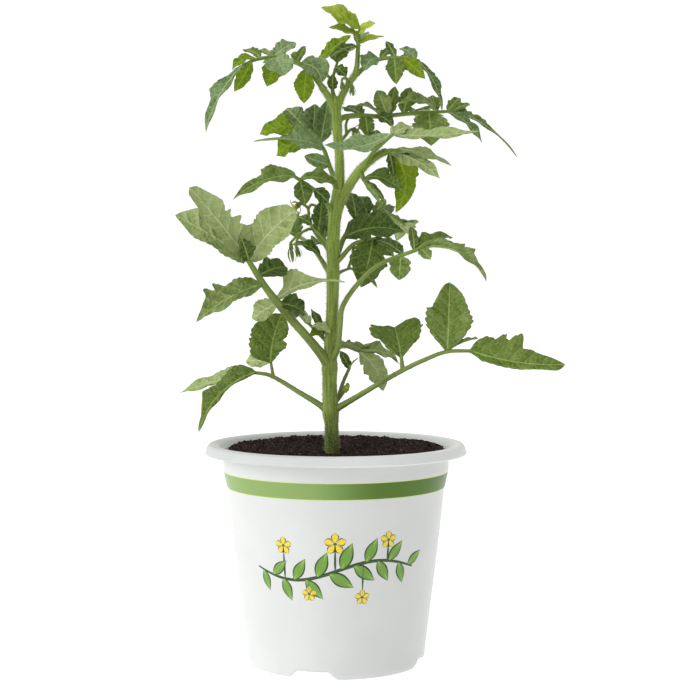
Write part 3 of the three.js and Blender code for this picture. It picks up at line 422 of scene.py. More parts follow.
pins = piece("drain_pins", [skin(pin(t)) for t in GAP_MIDDLES], [], None)
drill = pot.modifiers.new("drain holes", "BOOLEAN")
drill.object = pins
drill.operation = "DIFFERENCE"
drill.solver = "EXACT"
drilled = bpy.data.meshes.new_from_object(pot.evaluated_get(bpy.context.evaluated_depsgraph_get()))
pot.modifiers.clear()
pot.data = drilled
drilled.materials.clear()
drilled.materials.append(POT_PLASTIC)
bpy.data.objects.remove(pins)
print("pot after drilling:", len(drilled.polygons), "faces")

# %% [markdown]
# ## A printed sprig
#
# The pot carries a plain garland, once on the front and again on the back: a
# green vine with pointed leaves and small yellow flowers, all edged in dark
# green. It could be painted with nodes, but ink on plastic has an edge that can
# be felt, so each leaf and petal is a very thin skin of its own, laid out flat
# first and then wrapped round the wall. The wall's radius at a height comes from
# the pot's profile.

# %% Wrapping the print on the wall
PRINT_HEIGHT = 48.0
INK_LIFT = 0.07
INK_SINK = -0.12
INK_NARROWEST = 0.02
WALL = np.array([c[:2] for c in POT_PROFILE[5:10]])
WALL_RADIUS = np.interp(PRINT_HEIGHT, WALL[:, 1], WALL[:, 0])


def wrapped(flat, facing):
    """flat[..., (across, up, lift)] in mm becomes points on the wall: across turns
    round the pot, up is height, and lift is distance from the plastic."""
    height = PRINT_HEIGHT + flat[..., 1]
    radius = np.interp(height, WALL[:, 1], WALL[:, 0]) + flat[..., 2]
    angle = flat[..., 0] / WALL_RADIUS + facing
    return np.stack([radius * np.sin(angle), -radius * np.cos(angle), height], -1)


def ink_patch(start, heading, length, width, colour, blunt=1.0, steps=18, half=5):
    """A flat pointed patch: its half-width rises and falls as a sine along its
    length. Its columns run over the inked side and back under it."""
    along = np.linspace(0, 1, steps)[:, None]
    across = np.concatenate([np.linspace(1, -1, 2 * half), np.linspace(-1, 1, 2 * half)[1:-1]])
    lift = np.concatenate([np.full(2 * half, INK_LIFT), np.full(2 * half - 2, INK_SINK)])
    lift[[0, 2 * half - 1]] = 0.0
    wide = width / 2 * np.sin(np.pi * along ** blunt) + INK_NARROWEST
    forward = np.array([math.cos(heading), math.sin(heading)])
    aside = np.array([-forward[1], forward[0]])
    flat = np.array(start) + along[..., None] * length * forward + (wide * across)[..., None] * aside
    flat = np.dstack([flat, np.broadcast_to(lift, flat.shape[:2])])
    rim = np.maximum(np.abs(across) * np.ones_like(along), np.abs(2 * along - 1) ** 4)
    return flat, {"colour": colour, "rim": rim, "vein": np.abs(across) * wide}


print("wall behind the print:", round(float(WALL_RADIUS), 1), "mm in radius")

# %% [markdown]
# The vine is one long wave. Leaves stand on alternate sides of it, leaning
# forward, and flowers stand above and below it on short stalks. A flower is
# five petals round a small dark disc.

# %% Print pieces
VINE_HALF = 37.0
VINE_WAVE = 4.2
VINE_THICK = 1.5
VINE_STEPS = 61
VINE_LEAVES, LEAVES_REACH = 14, 34
VINE_FLOWERS = ((-22.5, 10.5, 5.4), (0.0, 12.0, 6.6), (23.0, 13.0, 5.4), (-11.5, -10.0, 4.8),
                (12.0, -11.5, 4.8))
PETALS = 5
INK_GREEN, INK_YELLOW, INK_DARK = 0.0, 1.0, 2.0


def vine(across):
    """Height of the vine: one whole wave between its two ends."""
    return VINE_WAVE * np.sin(np.pi * across / VINE_HALF)


def garland():
    """Every patch of the garland, laid out flat: (points, marks)."""
    patches = []
    knots = np.linspace(-VINE_HALF, VINE_HALF, VINE_STEPS)
    line = np.stack([knots, vine(knots)], -1)
    heading = np.arctan2(np.gradient(line[:, 1]), np.gradient(line[:, 0]))
    aside = np.stack([-np.sin(heading), np.cos(heading)], -1)
    across = np.array([1, 0.4, -0.4, -1, -0.4, 0.4])
    lift = np.array([0, INK_LIFT, INK_LIFT, 0, INK_SINK, INK_SINK])
    wide = VINE_THICK / 2 * np.sin(np.pi * np.linspace(0.04, 0.96, VINE_STEPS)) ** 0.4
    flat = line[:, None] + (wide[:, None] * across)[..., None] * aside[:, None]
    flat = np.dstack([flat, np.broadcast_to(lift, flat.shape[:2])])
    patches.append((flat, {"colour": INK_DARK, "rim": 0.0, "vein": 9.0}))
    for number, spot in enumerate(np.linspace(-LEAVES_REACH, LEAVES_REACH, VINE_LEAVES)):
        side = 1 if number % 2 else -1
        slope = math.atan(VINE_WAVE * math.pi / VINE_HALF * math.cos(math.pi * spot / VINE_HALF))
        lean = slope + side * (0.95 - 0.1 * math.cos(spot / 7))
        length = 12.5 - 0.09 * abs(spot)
        patches.append(ink_patch((spot, vine(spot)), lean, length, 0.46 * length, INK_GREEN, 0.85))
    for spot, height, size in VINE_FLOWERS:
        foot = (spot, vine(spot))
        rise = math.atan2(height - foot[1], 0.001)
        patches.append(ink_patch(foot, rise, abs(height - foot[1]), 0.9, INK_DARK, 0.6, 10, 2))
        for petal in range(PETALS):
            turn_to = 2 * math.pi * (petal + 0.25) / PETALS
            patches.append(ink_patch((spot, height), turn_to, size * 0.72, size * 0.52,
                                     INK_YELLOW, 1.5, 14, 4))
        patches.append(ink_patch((spot - 0.8, height), 0.0, 1.6, 1.9, INK_DARK, 1.0, 12, 3))
    return patches


GARLAND = garland()
print("garland:", len(GARLAND), "patches of ink")

# %% [markdown]
# Printing ink is duller than the plastic under it. Each patch is dark at its
# rim, as a printed outline is, and leaves have a paler line along the middle.

# %% Printing ink and the print
def printing_ink():
    """Green or yellow by the patch's colour, and dark where the rim is near."""
    bench = Bench("printing ink")
    colour, rim, vein = bench.mark("colour"), bench.mark("rim"), bench.mark("vein")
    speck = bench.noise(bench.place(), 2.2, 3.0)
    green = bench.mix(bench.step(speck, 0.35, 0.65), ink(104, 150, 50), ink(116, 160, 58))
    green = bench.mix(bench.step(vein, 0.12, 0.3, 1.0, 0.0), green, ink(160, 192, 92))
    yellow = bench.mix(bench.step(speck, 0.35, 0.65), ink(238, 205, 40), ink(246, 218, 62))
    fill = bench.mix(bench.step(colour, 0.4, 0.6), green, yellow)
    outline = bench.math("MAXIMUM", bench.step(rim, 0.68, 0.8), bench.step(colour, 1.4, 1.6))
    shade = bench.mix(outline, fill, ink(48, 78, 34))
    gloss = bench.math("MULTIPLY_ADD", speck, 0.2, 0.3)
    shader = bench.add("BsdfPrincipled", {
        "Base Color": shade, "Roughness": gloss, "Normal": bench.relief(speck, 0.01)})
    return bench.close(shader)


PRINTING_INK = printing_ink()
prints = [skin(wrapped(flat, facing), **marks)
          for facing in (0.0, math.pi) for flat, marks in GARLAND]
piece("pot_print", prints, [PRINTING_INK], None)

# %% [markdown]
# ## Potting mix
#
# The pot is filled with dark, crumbly compost that dips a little round the stem
# and stands highest near the rim. Its skin is a disc of rings, whose height is a
# smooth profile with three sizes of random lumps on top. The random field is
# made the usual way: a grid of random numbers, with a smooth curve between them.

# %% Lumpy ground
SOIL_PROFILE = [(0.3, 93.2), (6, 93.3), (14, 94.1), (25, 95.5), (36, 96.6), (44, 97.0), (47.6, 96.4),
                (48.9, 95.2), (49.3, 94.0)]
SOIL_WALL = [(49.35, 93.8), (49.3, 87.1), (47.4, 79.1), (44.6, 52.7), (38.9, 8.0), (38.6, 5.4),
             (2.0, 5.3)]
SOIL_RADIUS = 49.3
SOIL_RINGS = 130
SOIL_COLUMNS = 288
LUMPS = ((7.0, 0.45), (2.6, 0.36), (1.15, 0.24))
LUMPS_END, LUMPS_FADE = 49.6, 3.5
FIELD = 64


def random_field(x, y, cell, seed):
    """Random numbers on a square grid of that cell size, joined by a smooth step."""
    table = np.random.default_rng(seed).uniform(-1, 1, (FIELD, FIELD))
    u, v = x / cell, y / cell
    i, j = np.floor(u).astype(int), np.floor(v).astype(int)
    a, b = u - i, v - j
    a, b = a * a * (3 - 2 * a), b * b * (3 - 2 * b)
    corner = [[table[(i + p) % FIELD, (j + q) % FIELD] for q in (0, 1)] for p in (0, 1)]
    low = corner[0][0] * (1 - b) + corner[0][1] * b
    high = corner[1][0] * (1 - b) + corner[1][1] * b
    return low * (1 - a) + high * a


def ground(x, y):
    """The soil's height: its profile by radius, plus lumps that fade at the pot."""
    radius = np.hypot(x, y)
    rings = np.array(SOIL_PROFILE)
    height = np.interp(radius, rings[:, 0], rings[:, 1])
    rough = sum(tall * random_field(x, y, cell, 40 + n) for n, (cell, tall) in enumerate(LUMPS))
    return height + rough * np.clip((LUMPS_END - radius) / LUMPS_FADE, 0.15, 1)


turn = 2 * np.pi * np.arange(SOIL_COLUMNS) / SOIL_COLUMNS
radius = SOIL_RADIUS * np.linspace(0.006, 1, SOIL_RINGS)[:, None]
x, y = radius * np.sin(turn), -radius * np.cos(turn)
top = np.stack([x, y, ground(x, y)], -1)
side = turned(np.array(SOIL_WALL), turn)
soil_points = np.concatenate([top, side])[::-1]
print("soil from", round(float(top[..., 2].min()), 1), "to", round(float(top[..., 2].max()), 1), "mm")

# %% [markdown]
# Loose crumbs, bits of bark and a few pale grains of perlite lie on top. Each
# is a twenty-sided lump, stretched, turned, pressed flat and dropped at a random
# place. The seed is fixed, so the ground is the same each time.

# %% Crumbs
CRUMBS = 2300
CRUMBS_REACH = 48.6
CORNERS = 12
GOLD = (1 + 5 ** 0.5) / 2
BALL = unit(np.array([(-1, GOLD, 0), (1, GOLD, 0), (-1, -GOLD, 0), (1, -GOLD, 0),
                      (0, -1, GOLD), (0, 1, GOLD), (0, -1, -GOLD), (0, 1, -GOLD),
                      (GOLD, 0, -1), (GOLD, 0, 1), (-GOLD, 0, -1), (-GOLD, 0, 1)]))
BALL_FACES = np.array([(0, 11, 5), (0, 5, 1), (0, 1, 7), (0, 7, 10), (0, 10, 11), (1, 5, 9),
                       (5, 11, 4), (11, 10, 2), (10, 7, 6), (7, 1, 8), (3, 9, 4), (3, 4, 2),
                       (3, 2, 6), (3, 6, 8), (3, 8, 9), (4, 9, 5), (2, 4, 11), (6, 2, 10),
                       (8, 6, 7), (9, 8, 1)])


def turns(rng, count):
    """Random rotations, one 3 by 3 matrix each, from random unit quaternions."""
    w, a, b, c = unit(rng.normal(size=(count, 4))).T
    return np.stack([1 - 2 * (b * b + c * c), 2 * (a * b - c * w), 2 * (a * c + b * w),
                     2 * (a * b + c * w), 1 - 2 * (a * a + c * c), 2 * (b * c - a * w),
                     2 * (a * c - b * w), 2 * (b * c + a * w), 1 - 2 * (a * a + b * b)],
                    -1).reshape(count, 3, 3)


def crumbs():
    """Lumps: the ball's corners, jittered, stretched by three sizes, turned and moved."""
    rng = np.random.default_rng(7)
    far = CRUMBS_REACH * np.sqrt(rng.uniform(0, 1, CRUMBS))
    angle = rng.uniform(0, 2 * np.pi, CRUMBS)
    size = 0.3 + 0.6 * rng.power(0.28, CRUMBS)
    stretch = size[:, None] * rng.uniform((0.7, 0.5, 0.35), (1.5, 0.9, 0.7), (CRUMBS, 3))
    corners = BALL * rng.uniform(0.75, 1.2, (CRUMBS, CORNERS, 1)) * stretch[:, None]
    corners = np.einsum("nij,nkj->nki", turns(rng, CRUMBS), corners) * (1, 1, 0.55)
    x, y = far * np.sin(angle), -far * np.cos(angle)
    spot = np.stack([x, y, ground(x, y) + 0.15 * size], -1)
    kind = rng.uniform(0, 1, CRUMBS)
    faces = BALL_FACES[None] + CORNERS * np.arange(CRUMBS)[:, None, None]
    return {"points": (corners + spot[:, None]).reshape(-1, 3), "finish": 0,
            "faces": [faces.reshape(-1, 3)], "marks": {"kind": np.repeat(kind, CORNERS)}}


loose = crumbs()
print("crumbs:", len(loose["faces"][0]), "small triangles")

# %% [markdown]
# Damp compost is almost black in its hollows and red-brown where fibres dry
# out. A coarse noise gives the two dark colours of the ground, a fine one the
# brown of the fibres and a third some grey-brown flecks. Each crumb's own number
# decides whether it is peat, bark or a pale grain.

# %% Soil finish
def potting_mix():
    """Dark, brown and fibre by noise, and bark or a pale grain by the crumb's kind."""
    bench = Bench("damp potting mix")
    place = bench.place()
    kind = bench.mark("kind")
    coarse, fine = bench.noise(place, 0.35, 4.0, 0.6), bench.noise(place, 2.6, 5.0, 0.75)
    colour = bench.mix(bench.step(coarse, 0.35, 0.65), ink(16, 9, 8), ink(38, 22, 18))
    colour = bench.mix(bench.step(fine, 0.52, 0.75), colour, ink(74, 50, 42))
    fleck = bench.noise(place, 1.3, 1.0)
    colour = bench.mix(bench.step(fleck, 0.645, 0.7), colour, ink(122, 104, 96))
    bark = bench.mix(fine, ink(40, 24, 19), ink(76, 52, 42))
    colour = bench.mix(bench.step(kind, 0.8, 0.81), colour, bark)
    colour = bench.mix(bench.step(kind, 0.99, 0.995), colour, ink(140, 132, 124))
    gloss = bench.math("MULTIPLY_ADD", coarse, 0.3, 0.62)
    bump = bench.relief(fine, 0.25, bench.relief(bench.noise(place, 6.0, 3.0), 0.08))
    shader = bench.add("BsdfPrincipled", {
        "Base Color": colour, "Roughness": gloss, "Normal": bump, "Specular IOR Level": 0.06})
    return bench.close(shader)


piece("soil_bed", [skin(soil_points, kind=0.0), loose], [potting_mix()], "soil")

# %% [markdown]
# ## The plant's layout
#
# A plant is arranged, not turned or moulded, so its layout is a list. Every
# point is [across, back, up] in millimetres as the eye sees it: a point that
# lies further back is moved out along its line of sight, which keeps it at the
# same place in the view. A stalk is a route with its thickness at each point.
# A blade has the point where it leaves the stalk, its tip, its width, the way
# its upper side faces, how far it arches and bends, its cup where it folds more
# or less than most, and a tone: 0 is a dark leaf, 1 a mid green, 2 a pale
# grey-green, 3 a thin leaf with light behind, whose glow is painted into its
# colour as a bright yellow-green, and 4 a very young one, painted brighter still
# as if lit from behind. A tone below 0 is a bluish, powdery leaf. From 1.4 on,
# the underside is what is seen.

# %% Stems
STEMS = [
    dict(name="main", route=[[-1.9, 0, 68], [-1.9, 0, 92], [-2.1, 0, 105], [-2.8, 0, 117],
                [-2.9, 0, 131], [-2.1, 0, 148], [-1.4, 0, 170], [-1.2, 0, 190], [-0.2, 0, 204],
                [1.4, 0, 215], [1.6, 0, 225], [0.6, 0, 237], [-0.2, 0, 251]],
         thick=[6.7, 6.7, 6.2, 6.8, 6.3, 5.4, 5.4, 5.6, 5.2, 4.4, 3.9, 4.1, 4.3]),
    dict(name="side", route=[[-0.3, 0, 200], [3.5, -1, 209], [9.5, -3, 218.5], [15.5, -5, 224.5],
                [22, -8, 228.5]],
         thick=[4.4, 4.4, 4.2, 3.6, 2.8]),
    dict(name="fork_left", route=[[-0.4, 0, 247], [-3.2, -1, 252.5], [-6.6, -3, 257.5]],
         thick=[3.4, 3, 2.6]),
    dict(name="fork_right", route=[[0.2, 0, 247.5], [3.6, 1, 255], [8.4, 2, 262.6]],
         thick=[3.4, 2.9, 2.5]),
]
print("stems:", ", ".join(stem["name"] for stem in STEMS))

# %% [markdown]
# The lowest leaves are the oldest: long stalks, few and broad blades. The big
# one on the left turns its paler underside to the front.

# %% Lower leaves
LEAVES = [
    dict(name="leaf_lowest_left", stalks=[
        dict(route=[[-2.9, 0, 111], [-8, 2, 115], [-17, 6, 120.5], [-29, 11, 127.6], [-37, 13, 129.2]],
             thick=[3.6, 2.8, 2.3, 1.9, 1.5]),
        dict(route=[[-28.4, 11, 127.5], [-29.6, 10, 135.5]], thick=[1.5, 1.1])], blades=[
        dict(at=[-36, 12.6, 129.2], tip=[-62, 2, 102.4], wide=18,
             face=[-0.6, -0.8, 0.7], arch=3.6, bend=-3.4, tone=0.8),
        dict(at=[-36.2, 13.6, 129], tip=[-70.5, 26, 120], wide=12, face=[-0.1, -0.6, 1], arch=1, tone=2),
        dict(at=[-29.5, 10, 134], tip=[-24.5, 4, 155.8], wide=19,
             face=[0.1, -1, 0.3], arch=2, bend=1.1, tone=1.1),
        dict(at=[-29.6, 10.4, 134], tip=[-40.4, 16, 134.6], wide=8, face=[0, -1, 0.4], arch=1, tone=2)]),
    dict(name="leaf_lowest_right", stalks=[
        dict(route=[[-2.4, 0, 111.5], [2.5, -1.5, 114.2], [10, -4, 118.6], [20, -7, 124.6],
                    [30, -10, 130.2], [40, -12, 135], [50, -13, 138.6], [62, -14, 139]],
             thick=[3.6, 3, 2.5, 2.3, 2.2, 2, 1.8, 1.5]),
        dict(route=[[30, -10, 130], [29.2, -8, 137.8]], thick=[1.9, 1.5])], blades=[
        dict(at=[29.3, -8.5, 136], tip=[26.4, 6, 149.6], wide=23,
             face=[0, -1, 0.9], arch=1.5, cup=0.35, tone=0.95),
        dict(at=[50, -13, 138.6], tip=[51, -5, 169.8], wide=21.5,
             face=[0.05, -1, 0.2], arch=1.5, tone=1.25),
        dict(at=[50, -13, 139], tip=[64, 2, 144.5], wide=9, face=[-0.2, 0.1, 1], arch=1, tone=0),
        dict(at=[60, -14, 139], tip=[103.4, -20, 132.8], wide=22,
             face=[-0.1, -1, 0.5], arch=-0.6, bend=-2, tone=1.15)]),
    dict(name="leaf_low_behind", stalks=[
        dict(route=[[-2, 0, 143.5], [1.5, 3, 142.6], [6, 8, 141], [11, 14, 138.7]],
             thick=[3, 2.8, 2.4, 1.8])], blades=[
        dict(at=[10, 13, 139], tip=[28.5, 24, 133], wide=11, face=[0.1, -0.6, 1], arch=3, tone=1.6),
        dict(at=[10.4, 13.2, 139], tip=[21.2, 14, 120.6], wide=10.5,
             face=[-0.2, -1, 0.2], arch=1.5, bend=2.4, tone=2),
        dict(at=[10, 13, 139], tip=[16, 38, 138.5], wide=13, face=[0, -0.1, 1], arch=2.4, tone=0.8),
        dict(at=[8, 10, 140], tip=[-4, 30, 134], wide=11, face=[-0.2, -0.2, 1], arch=3, tone=0.9)]),
    dict(name="shoot_low_right", stalks=[
        dict(route=[[-2.3, 0, 112.5], [1, 3.5, 118], [3.2, 6, 125], [6.2, 8, 131.6]],
             thick=[2.4, 2, 1.7, 1.3]),
        dict(route=[[0.6, 3, 117], [3.4, 1, 120.5], [5.2, -0.5, 124]], thick=[1.7, 1.6, 1.4])], blades=[
        dict(at=[6, 8, 131], tip=[1.8, 7, 139], wide=4.6, face=[0.3, -1, 0.2], arch=0.5, tone=0.4),
        dict(at=[6, 8, 131], tip=[10, 2.5, 135.6], wide=3, face=[0, -0.6, 1], arch=0.5, tone=1),
        dict(at=[3.4, 1, 120.5], tip=[6.2, -2, 123.8], wide=3.2,
             face=[0.2, -1, 0.4], arch=0.5, tone=2.6)]),
    dict(name="leaf_large_left", stalks=[
        dict(route=[[-2.9, 0, 131.5], [-6, -2, 136.5], [-12, -5, 144], [-20, -9, 153],
                    [-27, -13, 161.5], [-33, -17, 169.5], [-40.5, -22, 181.5]],
             thick=[5, 4.6, 4, 3.8, 3.5, 3, 2.2])], blades=[
        dict(at=[-40, -22, 181], tip=[-65.6, -38, 212.4], wide=17,
             face=[0.2, -1, 0.5], arch=2, bend=0.6, tone=1.9),
        dict(at=[-39.6, -22, 180], tip=[-72.2, -26, 200], wide=19,
             face=[-0.1, -1, 0.6], arch=2, tone=1.9),
        dict(at=[-39, -21, 179.6], tip=[-18, -30, 202], wide=18.5,
             face=[-0.1, -1, 0.35], arch=2, bend=1, tone=1.72),
        dict(at=[-39.5, -23, 180], tip=[-42.6, -34, 190], wide=8, face=[0.3, -1, 0.1], arch=0.5, tone=0),
        dict(at=[-35, -18, 172.5], tip=[-22, -3, 176.5], wide=12, face=[0.1, -1, 0.6], arch=2, tone=0.2),
        dict(at=[-33, -17, 168.6], tip=[-62.8, -26, 152], wide=17,
             face=[-0.3, -0.8, 0.8], arch=2.4, bend=-0.5, cup=0.42, tone=1.4),
        dict(at=[-27, -13, 162], tip=[4.4, -17, 169.8], wide=14.5,
             face=[0, -0.9, 0.7], arch=2, bend=3, tone=2.1),
        dict(at=[-26.4, -13, 160.8], tip=[-37.8, -6, 153.4], wide=10,
             face=[-0.1, -1, 0.3], arch=1, tone=1.9),
        dict(at=[-25.5, -12, 160], tip=[-14, -5, 155.5], wide=12, face=[0, -1, 0.7], arch=2, tone=0)]),
    dict(name="shoot_left", stalks=[
        dict(route=[[-2.2, 0, 139.5], [-3.4, 3.2, 142], [-7.4, 3.4, 146.5], [-12, 1, 151]],
             thick=[2.4, 2, 1.7, 1.3])], blades=[
        dict(at=[-11.4, 1.3, 150.4], tip=[-16.8, 6, 157.6], wide=4.5,
             face=[0.2, -1, 0.3], arch=0.5, tone=2),
        dict(at=[-11, 1.6, 150], tip=[-2.6, -5, 147], wide=6, face=[0, -0.8, 1], arch=1.5, tone=2.2),
        dict(at=[-8, 3, 147], tip=[-11.6, -1.6, 145.6], wide=4.4, face=[0, -1, 0.6], arch=1, tone=2.8),
        dict(at=[-6, 3.4, 145], tip=[-11.4, 13, 158], wide=5.4, face=[0.5, -0.8, 0.2], arch=1, tone=0)]),
]

# %% [markdown]
# In the middle the leaves on the right are long and droop, and small dark ones
# fill the space round the stem.

# %% Middle leaves
LEAVES += [
    dict(name="leaf_right_long", stalks=[
        dict(route=[[-2.4, 0, 134], [0.6, -4.6, 140], [1.8, -5.6, 150], [3, -6, 159], [9.5, -7, 168.8],
                    [19, -10, 177.6], [34, -14, 183.6], [42, -15, 186.4]],
             thick=[3, 2.8, 2.5, 2.4, 2.2, 2, 1.7, 1.4])], blades=[
        dict(at=[40, -15, 185.8], tip=[67.6, -20, 170.4], wide=13,
             face=[0.5, -0.5, 0.9], arch=5.5, tone=1.39),
        dict(at=[35.5, -14, 184.2], tip=[52.5, -2, 190], wide=11, face=[-0.1, -0.6, 1], arch=2, tone=0.8),
        dict(at=[35, -14, 184], tip=[33.6, -6, 195], wide=5, face=[0.3, -1, 0.2], arch=1, tone=0.6),
        dict(at=[29, -12.6, 181.6], tip=[28.4, -17, 170.8], wide=10,
             face=[0, -1, 0.4], arch=0.8, tone=1.3),
        dict(at=[38, -14.4, 184.8], tip=[42.4, -19, 180], wide=6, face=[0, -1, 0.5], arch=0.6, tone=1.3),
        dict(at=[30, -13, 182], tip=[18, -2, 188.6], wide=8, face=[0.2, -0.7, 0.8], arch=1.5, tone=0.1)]),
    dict(name="leaf_right_dark", stalks=[
        dict(route=[[-1.3, 0, 180], [0.8, 4.6, 183], [4, 8.4, 190.4], [10, 12, 197.5], [17, 18, 200.5],
                    [25, 24, 200], [31, 28, 195.5]],
             thick=[3, 2.6, 2.2, 2, 1.8, 1.5, 1.2])], blades=[
        dict(at=[3.6, 8, 189.6], tip=[31, 11, 192], wide=17,
             face=[0, -0.9, 0.7], arch=3, bend=2, tone=0.25),
        dict(at=[17, 18, 200.4], tip=[22.4, 20, 207], wide=5, face=[0, -1, 0.3], arch=0.5, tone=1.4),
        dict(at=[14, 15.4, 199.8], tip=[11, 24, 208.4], wide=8, face=[0.2, -1, 0.3], arch=1, tone=0.2),
        dict(at=[9, 11.4, 196.8], tip=[6.6, 22, 210], wide=9, face=[0.3, -1, 0.2], arch=1.5, tone=0),
        dict(at=[24, 23, 200.2], tip=[17, 46, 201], wide=12, face=[0, -0.1, 1], arch=2, tone=0.2),
        dict(at=[30, 27, 196.4], tip=[27, 58, 188], wide=14, face=[0.3, 0.3, 1], arch=4, tone=0.6),
        dict(at=[28, 26, 198.2], tip=[33, 46, 190], wide=9, face=[0.4, 0, 1], arch=2, tone=1)]),
    dict(name="leaf_right_under", stalks=[
        dict(route=[[-1.3, 0, 177.5], [2.4, -1, 181], [8.4, 2, 187.2], [17.5, 7, 189.4]],
             thick=[2.6, 2.2, 1.9, 1.5]),
        dict(route=[[-1.3, 0, 171.5], [2, 1, 174.4], [6.4, 1.4, 176.2]], thick=[1.8, 1.4, 1.1]),
        dict(route=[[5.6, 1.4, 176.2], [7.4, 1.6, 182], [8, 1.9, 187.2]], thick=[1.2, 1.2, 1.4])],
        blades=[
        dict(at=[16.5, 6.7, 189.3], tip=[11.2, -1, 167.4], wide=17,
             face=[0.1, -1, 0.5], arch=2.5, bend=0.5, tone=0.45),
        dict(at=[15.5, 6.3, 189], tip=[26, 10, 181.4], wide=8, face=[0.2, -1, 0.6], arch=1.5, tone=0.2),
        dict(at=[6, 1.4, 176], tip=[18.6, -4.5, 167.4], wide=5, face=[0.3, -0.7, 0.8], arch=2, tone=1)]),
    dict(name="leaf_behind_left", stalks=[
        dict(route=[[-1.4, 0, 172], [-4.4, 4, 176.4], [-8, 9, 182], [-13, 17, 188], [-20, 28, 192]],
             thick=[2.8, 2.4, 2, 1.8, 1.5])], blades=[
        dict(at=[-7, 8, 181], tip=[-20, 9, 186.6], wide=7, face=[-0.2, -0.6, 1], arch=3, tone=0),
        dict(at=[-19, 27, 191.6], tip=[-40, 52, 186], wide=17, face=[-0.3, -0.2, 1], arch=4, tone=0.8),
        dict(at=[-17, 23.5, 190.6], tip=[-26, 50, 198], wide=14, face=[-0.1, -0.5, 1], arch=3, tone=0.6),
        dict(at=[-16, 22, 190], tip=[-38, 26, 196], wide=12, face=[-0.2, -0.6, 1], arch=2, tone=1),
        dict(at=[-11, 14, 186], tip=[-2, 34, 183], wide=12, face=[0.3, 0.3, 1], arch=3, tone=0.6)]),
    dict(name="leaf_small_left", stalks=[
        dict(route=[[-1.2, 0, 184], [-4.6, 3, 188.2], [-8.6, 5, 193], [-12, 6, 196.4]],
             thick=[2.4, 2, 1.7, 1.2])], blades=[
        dict(at=[-8, 4.8, 192.2], tip=[-6.4, 8, 206.4], wide=8.5, face=[0.2, -1, 0.3], arch=1, tone=0),
        dict(at=[-5.6, 3.6, 189.4], tip=[-4.4, 12, 200.5], wide=6, face=[0.2, -1, 0.2], arch=1, tone=0.1),
        dict(at=[-11, 6, 195.6], tip=[-17, 7, 199], wide=5, face=[0, -1, 0.6], arch=1, tone=0.4)]),
    dict(name="leaf_left_arching", stalks=[
        dict(route=[[-0.6, 0, 199], [-3.6, -3, 204.5], [-9, -7, 210.6], [-18.5, -12, 217.2]],
             thick=[2.8, 2.2, 1.9, 1.5])], blades=[
        dict(at=[-17.5, -11.4, 216.8], tip=[-46, -22, 207], wide=16.5,
             face=[-0.2, -0.8, 0.9], arch=4.2, cup=0.4, tone=1.2),
        dict(at=[-16, -11, 215.2], tip=[-13.8, -14, 204.6], wide=8.5,
             face=[0.1, -1, 0.3], arch=0.8, tone=0.6),
        dict(at=[-16.4, -11, 215.8], tip=[1.5, -9.5, 211], wide=11,
             face=[0.1, -0.7, 1], arch=3.4, tone=0.9),
        dict(at=[-10, -7.6, 211.6], tip=[-3.4, -4.6, 205.6], wide=7,
             face=[0.1, -1, 0.3], arch=0.8, tone=0)]),
]

# %% [markdown]
# The upper leaves are young: many small blades, thin enough to glow.

